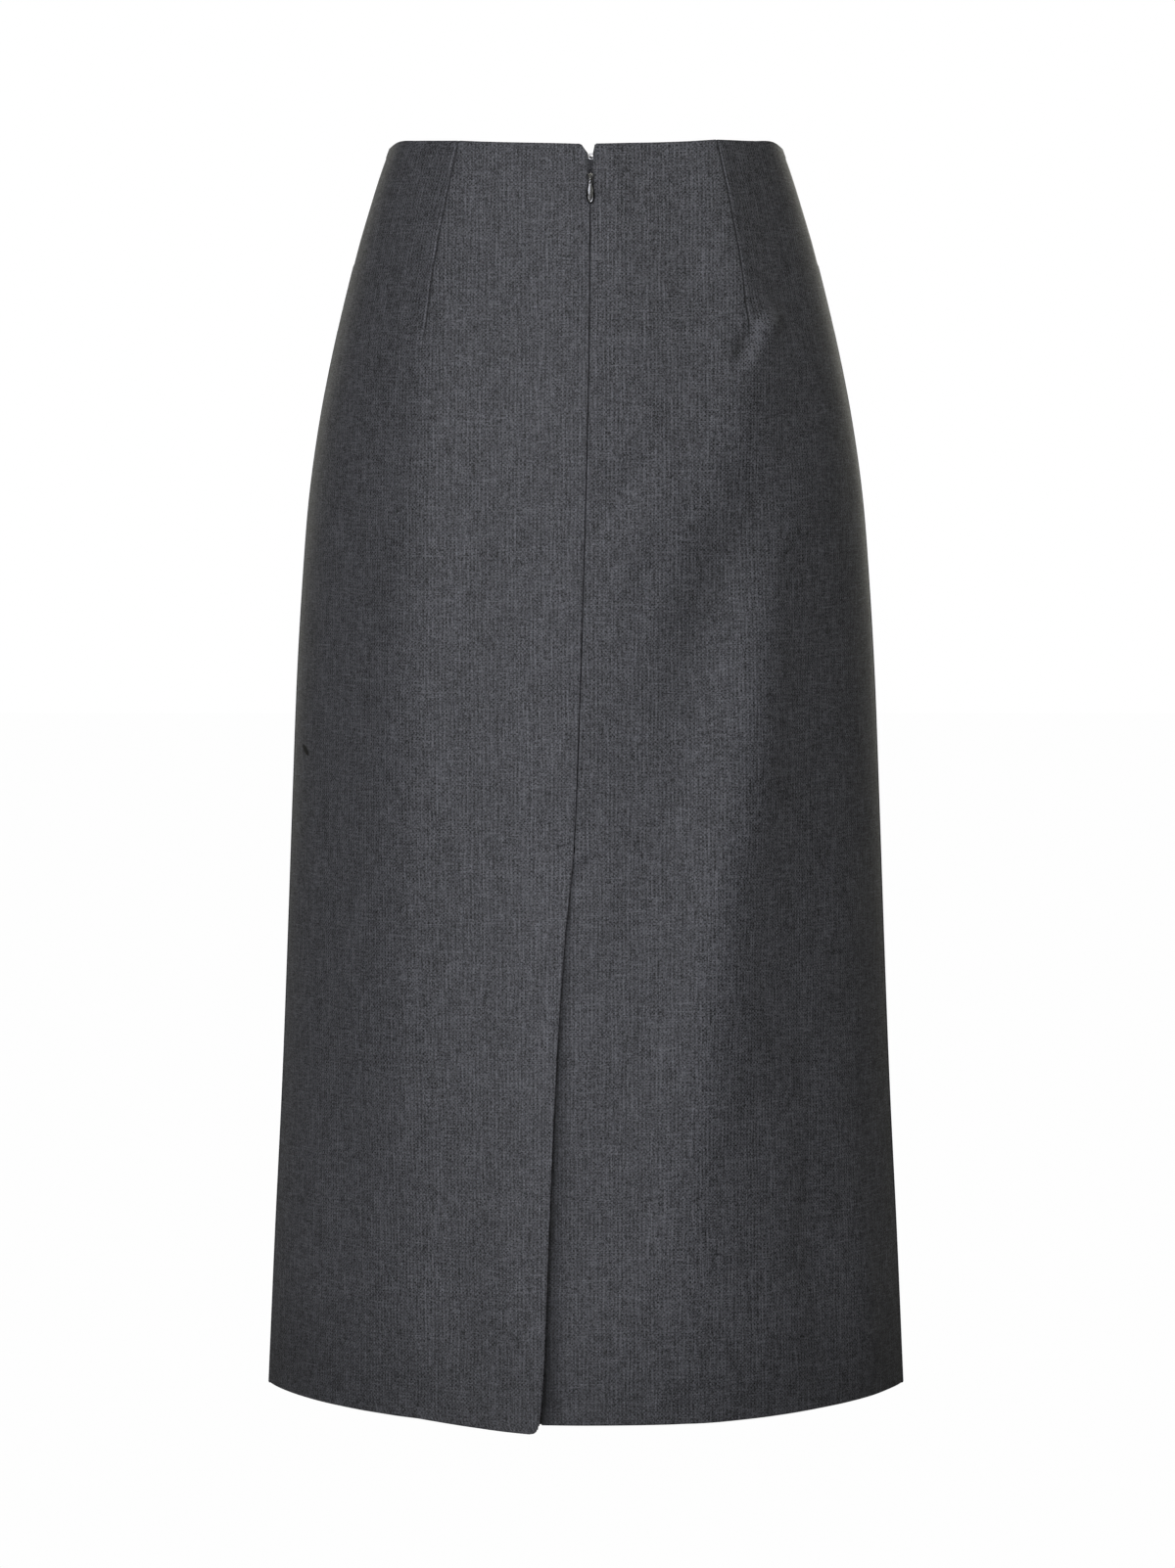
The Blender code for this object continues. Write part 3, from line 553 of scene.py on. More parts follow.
# ---- meshes
def smooth_mesh(name, points, faces, attributes=()):
    """A mesh from points in mm, without stray ones, with its faces turned alike; attributes are by point."""
    mesh = bpy.data.meshes.new(name)
    mesh.from_pydata((np.asarray(points) * MM).tolist(), [], faces)
    for title, values in attributes:
        kind, field = ("FLOAT", "value") if np.ndim(values) == 1 else ("FLOAT_VECTOR", "vector")
        mesh.attributes.new(title, kind, "POINT").data.foreach_set(field, np.ravel(values))
    work = bmesh.new()
    work.from_mesh(mesh)
    bmesh.ops.delete(work, geom=[vert for vert in work.verts if not vert.link_faces], context="VERTS")
    bmesh.ops.recalc_face_normals(work, faces=work.faces)
    work.to_mesh(mesh)
    work.free()
    mesh.shade_smooth()
    return mesh


def fold_points(edge, normal, before, radius):
    """The round of a pressed edge: lists of points from the face round to the turned-in layer."""
    toward = edge - before
    toward = unit(toward - normal * np.sum(toward * normal, axis=-1, keepdims=True))
    centre = edge - normal * radius
    turned = []
    for index in range(1, FOLD_TURNS + 1):
        angle = pi * index / FOLD_TURNS
        turned.append(centre + (normal * cos(angle) + toward * sin(angle)) * radius)
    return turned


class Panel:
    """A grid of points, with strips joined to its edges; a strip's cell may be left out.

    Each point also has its place on the flat cloth (across and along the grain, in mm) and its darkness from 0
    to 1: painted shade, over dark stitching in the creases, and below 0 a painted highlight.
    """

    def __init__(self, points, weave, dark):
        rows, count = points.shape[:2]
        self.points = points.reshape(-1, 3)
        self.weave = weave.reshape(-1, 2)
        self.dark = dark.reshape(-1)
        self.grid = np.arange(rows * count).reshape(rows, count)
        self.cells = [self.grid]

    def add_strip(self, edge_ids, layers, along, dark=(), keep=slice(None)):
        """Join layers of points, one after another, to the vertices named by edge_ids.

        along is the way over the flat cloth, across and along the grain; dark, the painted shade over any
        stitching, has a value a layer.
        """
        strip = [edge_ids]
        before = self.points[edge_ids]
        weave = self.weave[edge_ids]
        for index, layer in enumerate(layers):
            run = np.linalg.norm(layer - before, axis=-1, keepdims=True)
            weave = weave + run * np.array(along, dtype=float)
            shade = dark[index] if index < len(dark) else 0.0
            strip.append(len(self.points) + np.arange(len(layer)))
            self.points = np.concatenate([self.points, layer])
            self.weave = np.concatenate([self.weave, weave])
            self.dark = np.concatenate([self.dark, np.full(len(layer), 1.0) * shade])
            before = layer
        self.cells.append(np.stack(strip, axis=1)[keep])

    def build(self, name, bolt, thick):
        """The piece; bolt is where on the cloth it was cut, in metres, so no two look alike."""
        faces = [np.stack([cell[:-1, :-1], cell[:-1, 1:], cell[1:, 1:], cell[1:, :-1]], axis=-1).reshape(-1, 4)
                 for cell in self.cells]
        weave = np.insert(self.weave * MM, 2, bolt, axis=1)
        # The second point attribute is painted shade over dark stitching, and below 0 a painted highlight.
        mesh = smooth_mesh(name, self.points, np.concatenate(faces).tolist(),
                           (("weave", weave), ("stitching_and_painted_shade", self.dark)))
        # The sheet is open, so its outside is the side that faces away from the middle of the skirt.
        flat = Vector((1.0, 1.0, 0.0))
        if sum(face.normal.dot(face.center * flat) * face.area for face in mesh.polygons) < 0.0:
            mesh.flip_normals()
        piece = add_object(name, mesh)
        wall = piece.modifiers.new("cloth", "SOLIDIFY")
        wall.thickness = thick * MM
        wall.offset = -1.0
        return piece


def flat_cloth(points, centre, darts, length):
    """Each grid point's place on the flat cloth: arc length across from the centre column, and drop.

    Outside a dart the grain runs along the dart's line.  darts holds (column, hand) rows.
    """
    across = run_along(points)
    across -= across[:, centre:centre + 1].copy()
    tip = np.argmin(np.abs(DROPS - length))
    for dart_column, hand in darts:
        taken = across[tip, dart_column] - across[:, dart_column]
        taken[DROPS > length] = 0.0
        outside = slice(None, dart_column + 1) if hand < 0 else slice(dart_column, None)
        across[:, outside] += taken[:, None]
    return np.stack([across, np.repeat(DROPS[:, None], points.shape[1], axis=1)], axis=-1)


def shade_of(points, darts, length, side):
    """Painted shade at each grid point: along the darts, with a painted highlight beside them, over the
    turned hem, and the flap's painted shadow on the right.
    """
    dark = np.zeros(points.shape[:2])
    strength = np.clip(DART_SHADE_GROWTH * (1.0 - DROPS / length), 0.0, 1.0)
    # Painted shade along each dart's crease, and a painted highlight on its outer side.
    for dart_column, hand in darts:
        for step, share in DART_SHADES:
            dark[:, dart_column - hand * step] = strength * share
    # Painted shade, darkening down over the turned hem.
    hem = eased((DROPS - HEM_SHADE_FROM) / (SKIRT_LENGTH - HEM_SHADE_FROM))
    dark += HEM_SHADE * hem[:, None]
    # The flap's painted shadow on the right panel, widening down the vent's edge.
    if side > 0:
        for row, drop in enumerate(DROPS):
            away = points[row, :, 0] - vent_edge(drop)
            width = straight(VENT_SHADE_WIDTHS, drop, "width")
            start = eased((drop - VENT_TOP) / VENT_START)
            dark[row] += VENT_SHADE * start * (1.0 - eased(away / width))
    return dark


def round_flap_corner(points):
    """The flap's lower corner is softly rounded."""
    edge_x, _, foot = points[-1, -1]
    for row in range(points.shape[0] - 1, 0, -1):
        up = points[row, -1, 2] - foot
        if up > FLAP_CORNER:
            break
        across = np.clip(1.0 - (edge_x - points[row, :, 0]) / FLAP_CORNER, 0.0, 1.0)
        rise = FLAP_CORNER * (1.0 - np.sqrt(1.0 - across ** 2)) * (1.0 - up / FLAP_CORNER)
        points[row, :, 2] += rise * FLAP_CORNER_SHARE


def make_panel(side, name, bolt):
    """A panel with its darts, turned-in waist, turned-up hem and pressed seams."""
    rows = [row_of(drop, side) for drop in DROPS]
    points = np.stack([point for point, _ in rows])
    normals = np.stack([normal for _, normal in rows])
    if side < 0:
        round_flap_corner(points)
    last = points.shape[1] - 1
    if side:
        darts, length, centre = [(DART_COLUMN, -1)], BACK_DARTS[side].length, last
    else:
        darts, length = [(DART_COLUMN, -1), (last - DART_COLUMN, 1)], FRONT_DARTS[1].length
        centre = (last + 1) // 2
    weave = flat_cloth(points, centre, darts, length)
    if side:
        # Every row runs from the side seam to the centre, so across is measured back from its last point.
        weave[..., 0] = -side * weave[..., 0] + points[:, -1:, 0]
    panel = Panel(points, weave, shade_of(points, darts, length, side))

    def row_inside(drop, depth):
        point, normal = row_of(drop, side)
        return point - normal * depth

    def pressed(index, beside, radius=FOLD_RADIUS):
        return fold_points(points[index], normals[index], points[beside], radius)

    waist = pressed(0, 1) + [row_inside(step, 2 * FOLD_RADIUS) for step in WAIST_LAYER]
    panel.add_strip(panel.grid[0], waist, (0, -1))
    hem = pressed(-1, -2, HEM_RADIUS) + [row_inside(SKIRT_LENGTH - step, 2 * HEM_RADIUS) for step in HEM_LAYER]
    panel.add_strip(panel.grid[-1], hem, (0, 1))
    for hand, edge, beside in ((side, 0, 1),) if side else ((-1, 0, 1), (1, -1, -2)):
        seam = pressed(np.s_[:, edge], np.s_[:, beside])
        for angle in SEAM_LAYER:
            reach = hand * cos(radians(angle))
            seam.append(np.array([point_inside(half_width(d) * reach, d, side, 2 * FOLD_RADIUS)
                                  for d in DROPS]))
        # The seam's fold gets painted shade over its dark stitching.
        panel.add_strip(panel.grid[:, edge], seam, (hand, 0), SEAM_SHADE)
    if side:
        sew_centre(panel, pressed(np.s_[:, -1], np.s_[:, -2]), side)
    return panel.build(name, bolt, CLOTH_THICK)


def sew_centre(panel, centre, side):
    """The centre edge's turned-in layer, wider in the vent on the left, and the underlap on the right."""

    def along_edge(shift_at, depth):
        return np.array([point_inside(centre_edge(d, side) + side * FOLD_RADIUS + shift_at(d), d, side, depth)
                         for d in DROPS])

    def turned_width(drop):
        below = 0.0 if side > 0 else eased((drop - VENT_TOP + VENT_RETURN_START) / VENT_RETURN_START)
        return SEAM_ALLOWANCE + (VENT_RETURN_WIDTH - SEAM_ALLOWANCE) * float(below)

    for share in CENTRE_LAYER:
        centre.append(along_edge(lambda d: side * turned_width(d) * share, 2 * FOLD_RADIUS))
    # The centre seam's fold gets painted shade over its stitching, between the zip and the vent.
    closed = ((DROPS > ZIP_OPENING[-1].drop) & (DROPS < VENT_TOP)).astype(float)
    above_vent = (DROPS <= VENT_TOP) | (side < 0)
    panel.add_strip(panel.grid[:, -1], centre, (-side, 0), [closed * shade for shade in SEAM_SHADE], above_vent)
    if side > 0:
        # The underlap carries the flap's painted shadow all over.
        lap = [along_edge(lambda d: -UNDERLAP_WIDTH * share, 0.0) for share in LAP_LAYER]
        panel.add_strip(panel.grid[:, -1], lap, (-side, 0), [VENT_SHADE] * len(lap), DROPS > VENT_TOP)


# ---- zip, hook and eye
class Kit:
    """Gathers rings of points into one mesh."""

    def __init__(self):
        self.verts = []
        self.faces = []

    def rings(self, rings, closed=False):
        """Join rings of points in order; closed joins the last to the first, and else the ends are capped."""
        first = len(self.verts)
        size = len(rings[0])
        for points in rings:
            self.verts.extend(tuple(point) for point in points)
        for index in range(len(rings) if closed else len(rings) - 1):
            here = first + index * size
            there = first + (index + 1) % len(rings) * size
            for corner in range(size):
                beside = (corner + 1) % size
                self.faces.append((here + corner, here + beside, there + beside, there + corner))
        if not closed:
            last = first + (len(rings) - 1) * size
            self.faces.append(tuple(first + corner for corner in range(size))[::-1])
            self.faces.append(tuple(last + corner for corner in range(size)))

    def wire(self, points, radius, sides=12):
        """A round wire along points, with rounded ends."""
        points = np.asarray(points, dtype=float)
        ahead = unit(np.gradient(points, axis=0))
        square = np.cross(ahead[0], (0.36, 0.48, 0.8))
        turns = np.linspace(0.0, 2.0 * pi, sides, endpoint=False)
        rings = []
        for point, direction in zip(points, ahead):
            square = unit(square - direction * np.dot(square, direction))
            third = np.cross(direction, square)
            rings.append(point + radius * (np.outer(np.cos(turns), square) + np.outer(np.sin(turns), third)))
        start, finish = (points[end] + way * ahead[end] * radius * WIRE_END_REACH
                         + (rings[end] - points[end]) * WIRE_END_SIZE for end, way in ((0, -1.0), (-1, 1.0)))
        self.rings([start] + rings + [finish])
        return self

    def build(self, name, matrix=None, attributes=()):
        mesh = smooth_mesh(name, self.verts, self.faces, attributes)
        if matrix is not None:
            mesh.transform(matrix)
        return add_object(name, mesh)


def leaning_place(origin, lean):
    """A frame on the zip opening: x across, y inwards, z up along cloth that leans by some degrees."""
    up, back = cos(radians(lean)), sin(radians(lean))
    return Matrix.Translation(origin) @ Matrix(((1.0, 0.0, 0.0), (0.0, up, back), (0.0, -back, up))).to_4x4()


def even_loop(corners, count):
    """Points at even steps round a closed line, from its first corner."""
    corners = np.asarray(corners + corners[:1], dtype=float)
    run = run_along(corners)
    at = np.linspace(0.0, run[-1], count, endpoint=False)
    return np.stack([np.interp(at, run, corners[:, axis]) for axis in (0, 1)], axis=-1)


def make_pull():
    """A drop-shaped tab with a raised rim round a crowned face, and a slot for the slider's bridge.

    Its sides follow PULL_WIDTHS, and its foot is half an ellipse.
    """
    widest = PULL_WIDTHS[-1].half
    right = [(value_at(PULL_WIDTHS, down, "half"), -down)
             for down in np.linspace(-PULL_BAR, PULL_WIDEST, 30)]
    foot = [(widest * cos(turn), -PULL_WIDEST - PULL_FOOT * sin(turn))
            for turn in np.linspace(0.0, pi / 2, 14)[1:]]
    half = [(0.0, PULL_BAR)] + right + foot
    outline = even_loop(half + [(-x, up) for x, up in half[-2:0:-1]], PULL_POINTS)
    slot_foot = [(PULL_SLOT * cos(turn), PULL_SLOT_LOW - PULL_SLOT * sin(turn))
                 for turn in np.linspace(0.0, pi, 9)]
    slot_half = [(0.0, -PULL_BAR), (PULL_SLOT, -PULL_BAR)] + slot_foot + [(-PULL_SLOT, -PULL_BAR)]
    slot = even_loop(slot_half, PULL_POINTS)
    ahead = np.roll(outline, -1, axis=0) - np.roll(outline, 1, axis=0)
    inward = unit(np.stack([ahead[:, 1], -ahead[:, 0]], axis=-1))
    inward *= np.sign(np.sum(inward * ((0.0, -6.0) - outline), axis=-1, keepdims=True) + 1e-9)
    inward *= np.interp(-outline[:, 1:], (0.0, PULL_RIM_NARROWS), (PULL_RIM_NARROWEST, 1.0))

    def layer(flat, out):
        return np.stack([flat[:, 0], -np.broadcast_to(out, len(flat)), flat[:, 1]], axis=-1)

    front = [layer(outline + inward * row.inset, row.out) for row in PULL_RIM]
    inner = outline + inward * PULL_RIM[-1].inset
    for share in np.linspace(0.0, 1.0, PULL_FACE_STEPS)[1:]:
        flat = inner + (slot - inner) * share
        crown = PULL_CROWN * (1.0 - (flat[:, 0] / widest) ** 2)
        bow = PULL_BOW * (np.maximum(0.0, PULL_BOW_FROM + flat[:, 1]) / PULL_BOW_FROM) ** 2
        front.append(layer(flat, PULL_RIM[-1].out + (crown - bow) * eased(4.0 * share)))
    back = [layer(slot, -PULL_THICK / 2)] + [layer(outline + inward * row.inset, row.out) for row in PULL_BACK]
    kit = Kit()
    kit.rings(front + back, closed=True)
    # The rim's darkness is painted shade: its colour stands for the rim's dark reflections and shadow.
    rim_painted_shade = np.ones(len(kit.verts))
    rim_painted_shade[(len(PULL_RIM) - 1) * PULL_POINTS:len(front) * PULL_POINTS] = 0.0
    return kit.build("zip_pull_tab", leaning_place(pivot, ZIP_LEAN), (("rim_painted_shade", rim_painted_shade),))


def make_eye_and_hook():
    """A round wire eye on the right of the opening, and the wire hook that holds it from the left."""
    place = leaning_place(Vector(EYE_PLACE) * MM, EYE_LEAN)
    turns = np.linspace(pi / 2, 3 * pi / 2, 25)
    loop = [(EYE_RADIUS * cos(turn), EYE_IN, EYE_RADIUS * sin(turn)) for turn in turns]
    legs = np.linspace(EYE_LEG, 0.4, 8)
    route = [(x, EYE_IN, EYE_RADIUS) for x in legs] + loop + [(x, EYE_IN, -EYE_RADIUS) for x in legs[::-1]]
    eye = Kit().wire(route, EYE_WIRE).build("waist_eye", place)

    behind = EYE_IN + EYE_WIRE + HOOK_WIRE + HOOK_GAP
    reach = (behind - EYE_IN + 1.0) / 2
    route = [(x, behind, 0.0) for x in np.linspace(*HOOK_SHANK, 12)]
    route += [(-0.5 + HOOK_BEND * sin(turn), behind - reach + reach * cos(turn), 0.0)
              for turn in np.linspace(0.0, pi, 12)]
    return eye, Kit().wire(route, HOOK_WIRE).build("waist_hook", place)


def opening_surface(drop, side, shift, depth):
    """A point at a depth inside a back panel, at a shift from its centre edge."""
    return point_inside(centre_edge(drop, side) + side * shift, drop, side, depth)


def make_tape(side, name):
    """A zip tape, sewn inside its panel along the opening."""
    points = np.array([[opening_surface(drop, side, shift, TAPE_DEPTH) for shift in TAPE_SHIFTS]
                       for drop in np.arange(ZIP_TOP, ZIP_LENGTH + 0.1, TAPE_STEP)])
    weave = np.indices(points.shape[:2], dtype=float)[::-1].transpose(1, 2, 0)
    return Panel(points, weave, np.zeros(points.shape[:2])).build(name, 0.0, TAPE_THICK)


def make_coil():
    """The zip's teeth: a nylon coil on each tape, with their heads locked together."""
    kit = Kit()
    for side, start in ((-1, COIL_START), (1, COIL_START + COIL_PITCH / 2)):
        route = []
        for drop in np.arange(start, ZIP_LENGTH - TAPE_STEP, COIL_PITCH):
            seam = opening_surface(drop, -1, 0.0, COIL_DEPTH)
            ahead = opening_surface(drop + COIL_PITCH, -1, 0.0, COIL_DEPTH) - seam
            for x, depth, along in COIL_TURN:
                route.append(seam + np.array((side * -x, depth, 0.0)) + ahead * along)
        kit.wire(route, COIL_WIRE, 6)
    return kit.build("zip_coil")


def make_bar_tack():
    """A row of short dark stitches, slanting up to the right, holds the top of the vent."""
    kit = Kit()
    for share in np.linspace(0.0, 1.0, STITCHES):
        x = BAR_TACK[0] + (BAR_TACK[1] - BAR_TACK[0]) * share
        drop = BAR_TACK_DROP + BAR_TACK_RISE * (0.5 - share)
        low, normal = surface(np.array([x - STITCH_SLANT]), drop + STITCH_HALF, -1)
        high, _ = surface(np.array([x + STITCH_SLANT]), drop - STITCH_HALF, -1)
        low, high, out = low[0], high[0], normal[0] * THREAD
        arch = [low - out, low + out * 0.8, (low + high) / 2 + out * 1.6, high + out * 0.8, high - out]
        kit.wire(arch, THREAD, 8)
    return kit.build("vent_bar_tack")


# ---- materials
class Nodes:
    """A short way to write a node material."""

    def __init__(self, name):
        self.material = bpy.data.materials.new(name)
        self.material.use_nodes = True
        self.tree = self.material.node_tree
        self.shader = self.tree.nodes["Principled BSDF"]
        self.place = self.tree.nodes.new("ShaderNodeTexCoord").outputs["Object"]

    def node(self, kind, inputs, **settings):
        made = self.tree.nodes.new(kind)
        for key, value in settings.items():
            setattr(made, key, value)
        for key, value in inputs.items():
            if isinstance(value, bpy.types.NodeSocket):
                self.tree.links.new(value, made.inputs[key])
            else:
                made.inputs[key].default_value = value
        return made

    def attribute(self, name, output):
        return self.node("ShaderNodeAttribute", {}, attribute_name=name).outputs[output]

    def parts(self, vector):
        outputs = self.node("ShaderNodeSeparateXYZ", {"Vector": vector}).outputs
        return outputs["X"], outputs["Y"], outputs["Z"]

    def noise_at(self, vector, detail):
        inputs = {"Vector": vector, "Scale": 1.0, "Detail": detail}
        return self.node("ShaderNodeTexNoise", inputs).outputs["Fac"]

    def noise(self, x, y, z, detail=0.0):
        """Noise at a place given by three values."""
        made = self.node("ShaderNodeCombineXYZ", {"X": x, "Y": y, "Z": z})
        return self.noise_at(made.outputs["Vector"], detail)

    def stretched(self, scale, detail):
        """Noise in the object's space, with its own scale along each axis."""
        mapped = self.node("ShaderNodeMapping", {"Vector": self.place, "Scale": scale})
        return self.noise_at(mapped.outputs["Vector"], detail)

    def math(self, operation, *values):
        return self.node("ShaderNodeMath", dict(enumerate(values)), operation=operation).outputs["Value"]

    def times(self, first, second):
        return self.math("MULTIPLY", first, second)

    def times_add(self, first, second, third):
        return self.math("MULTIPLY_ADD", first, second, third)

    def less(self, first, second):
        return self.math("SUBTRACT", first, second)

    def ramp(self, value, *stops):
        made = self.node("ShaderNodeValToRGB", {"Fac": value})
        elements = made.color_ramp.elements
        while len(elements) < len(stops):
            elements.new(0.5)
        for element, (position, colour) in zip(elements, stops):
            element.position = position
            element.color = (*colour, 1.0)
        return made.outputs["Color"]

    def link(self, output, socket):
        self.tree.links.new(output, self.shader.inputs[socket])

    def bump(self, height, strength, distance):
        made = self.node("ShaderNodeBump", {"Height": height, "Strength": strength, "Distance": distance})
        self.link(made.outputs["Normal"], "Normal")

    def set(self, **values):
        for key, value in values.items():
            self.shader.inputs[key.replace("_", " ")].default_value = value


SUITING = (0.0908, 0.0926, 0.1045)
THREADS = 1640.0  # threads a metre, both ways
THREAD_DRIFT = 2.0  # how many threads they wander
DRIFT_SCALE = 40.0  # waves a metre, as the cloud's two are
CLOUD_SCALE = (50.0, 22.0)
ROW_STRIDE = 7.31  # how far apart two threads' noise lies
WARP_FLECK = 0.0042  # lengths in metres: a light or dark stretch of warp
WEFT_FLECK = 0.0025
WARP_STREAK = 0.016
WEFT_STREAK = 0.009
FLECK = 0.0006
STRIPE_CONTRAST = 0.35  # pairs of warp threads, light and dark by turns
TONE_CONTRAST = 3.4
STREAK_FROM = 0.52  # the light streaks show above this value of their noise
WARP_STREAK_CONTRAST = 2.4
WEFT_STREAK_CONTRAST = 2.0
FLECK_CONTRAST = 3.2
CLOUD_CONTRAST = 0.2
OVER_CONTRAST = 0.5
GAP_CONTRAST = 0.5
EVEN_TONE = 0.95
STITCHING_AND_SHADE_CONTRAST = 0.75
DARKEST = 0.2  # of the base colour, for all but the speck
SPECK = (0.06, 0.03)  # the tone below which the cloth turns to the speck's, and the speck's own
BRIGHTEST = 2.6
RELIEF = 0.00025  # metres
# The speck is a stain; the other spots are painted shade (round the slider, in the dent and in the hollow) and
# painted highlights (on the swelling and on the rounding).
SPECK_AND_PAINTED_SPOTS = table(  # metres; a depth below 0 is a light spot
    "x z half_width half_height slant depth",
    (-0.1745, -0.3762, 0.0018, 0.0038, 0.50, 2.4),  # a speck near the left edge
    (0.00275, -0.0240, 0.0038, 0.0028, 0.0, 0.95),  # the cloth pressed round the slider
    (0.1040, -0.1215, 0.0098, 0.0215, -0.50, -0.75),  # the swelling under the right dart
    (0.0930, -0.1270, 0.0062, 0.0150, -0.35, 0.42),  # the dent beside it
    (0.0790, -0.2620, 0.0300, 0.0950, -0.40, 0.20),  # the slanting hollow on the right
    (-0.0220, -0.4230, 0.0300, 0.2100, 0.0, -0.09),  # the rounding beside the centre seam
)


def scaled(colour, factor):
    return tuple(channel * factor for channel in colour)


def spot_shade(cloth, spot):
    """1 in the middle of a spot on the back, falling to 0 at its edge; past the speck, the spots are painted
    shade and painted highlights.
    """
    x, y, z = cloth.parts(cloth.place)
    down = cloth.less(z, spot.z)
    across = cloth.times_add(down, spot.slant, cloth.less(x, spot.x))
    reach = 0.0
    for value, half in ((across, spot.half_width), (down, spot.half_height)):
        share = cloth.math("DIVIDE", value, half)
        reach = cloth.times_add(share, share, reach)
    return cloth.times(cloth.math("MAXIMUM", cloth.less(1.0, reach), 0.0), cloth.math("LESS_THAN", y, 0.0))


def suiting_material():
    """Heathered wool in a basket weave of pairs: light and dark stretches of thread both ways."""
    cloth = Nodes("suiting")
    times, times_add, less = cloth.times, cloth.times_add, cloth.less
    across, along, bolt = cloth.parts(cloth.attribute("weave", "Vector"))

    def floor(value):
        return cloth.math("FLOOR", value)

    def light_only(value):
        """What stands above a noise's middle, about 0.06 on average."""
        return cloth.math("MAXIMUM", less(value, STREAK_FROM), 0.0)

    def rim(run):
        """Nearly 0 on a thread, and 1 between two."""
        return cloth.math("POWER", cloth.math("ABSOLUTE", times_add(cloth.math("FRACT", run), 2.0, -1.0)), 4.0)

    drift = times(cloth.noise(times(across, DRIFT_SCALE), times(along, DRIFT_SCALE), bolt), THREAD_DRIFT)
    warp_run = times_add(across, THREADS, drift)
    weft_run = times_add(along, THREADS, drift)
    warp_row = times(floor(warp_run), ROW_STRIDE)
    weft_row = times(floor(weft_run), ROW_STRIDE)
    warp = cloth.noise(warp_row, times(along, 1.0 / WARP_FLECK), bolt, 1.0)
    weft = cloth.noise(times(across, 1.0 / WEFT_FLECK), weft_row, bolt, 1.0)
    warp_streak = cloth.noise(warp_row, times(along, 1.0 / WARP_STREAK), cloth.math("ADD", bolt, 5.0))
    weft_streak = cloth.noise(times(across, 1.0 / WEFT_STREAK), weft_row, cloth.math("ADD", bolt, 9.0))
    fleck = cloth.noise(times(across, 1.0 / FLECK), times(along, 1.0 / FLECK), bolt, 1.0)
    cloud = cloth.noise(times(across, CLOUD_SCALE[0]), times(along, CLOUD_SCALE[1]), bolt, 2.0)

    warp_pair = floor(times(warp_run, 0.5))
    over = cloth.math("FLOORED_MODULO", cloth.math("ADD", warp_pair, floor(times(weft_run, 0.5))), 2.0)
    under = less(1.0, over)
    stripe = cloth.math("FLOORED_MODULO", warp_pair, 2.0)
    tone = times_add(warp, over, times(weft, under))
    gap = times_add(rim(warp_run), over, times(rim(weft_run), under))
    mixed = EVEN_TONE
    for value, contrast in ((tone, TONE_CONTRAST), (over, OVER_CONTRAST), (fleck, FLECK_CONTRAST),
                            (cloud, CLOUD_CONTRAST), (stripe, STRIPE_CONTRAST)):
        mixed = times_add(less(value, 0.5), contrast, mixed)
    mixed = times_add(gap, -GAP_CONTRAST, mixed)
    for streak, contrast in ((warp_streak, WARP_STREAK_CONTRAST), (weft_streak, WEFT_STREAK_CONTRAST)):
        mixed = times_add(light_only(streak), contrast, mixed)
    # Painted shade: the cloth's darkness attribute darkens the colour in creases, darts, the flap's shadow and
    # the hem, and below 0 paints a highlight.
    lit = times(mixed, times_add(cloth.attribute("stitching_and_painted_shade", "Fac"), -STITCHING_AND_SHADE_CONTRAST, 1.0))
    # The speck, then the spots of painted shade and painted highlight.
    for spot in SPECK_AND_PAINTED_SPOTS:
        lit = times(lit, times_add(spot_shade(cloth, spot), -spot.depth, 1.0))
    stops = (0.0, SPECK[1]), (SPECK[0], DARKEST), (DARKEST, DARKEST), (BRIGHTEST, BRIGHTEST)
    stops = [(place / BRIGHTEST, scaled(SUITING, shade)) for place, shade in stops]
    cloth.link(cloth.ramp(times(lit, 1.0 / BRIGHTEST), *stops), "Base Color")
    cloth.bump(times_add(gap, -0.5, tone), 0.5, RELIEF)
    cloth.set(Roughness=0.58, Specular_IOR_Level=0.5)
    return cloth.material


def mottled_material(name, scale, detail, *stops, darker=None, bump=None, rough=None, **settings):
    """A finish whose colour varies with a stretched noise; a stop is a place on the ramp and its colour.

    darker names the attribute that darkens it, bump is the relief's strength and distance, and rough the
    least roughness of one that varies too.
    """
    made = Nodes(name)
    wear = made.stretched(scale, detail)
    if darker:
        wear = made.times_add(made.attribute(darker, "Fac"), -1.0, wear)
    made.link(made.ramp(wear, *stops), "Base Color")
    if bump:
        made.bump(wear, *bump)
    if rough:
        made.link(made.times_add(wear, 0.12, rough), "Roughness")
    made.set(**settings)
    return made.material


def metal_material(name, colour, rough):
    dark, light = (0.35, scaled(colour, 0.86)), (0.65, scaled(colour, 1.06))
    return mottled_material(name, (900.0, 900.0, 900.0), 3.0, dark, light, rough=rough, Metallic=1.0)


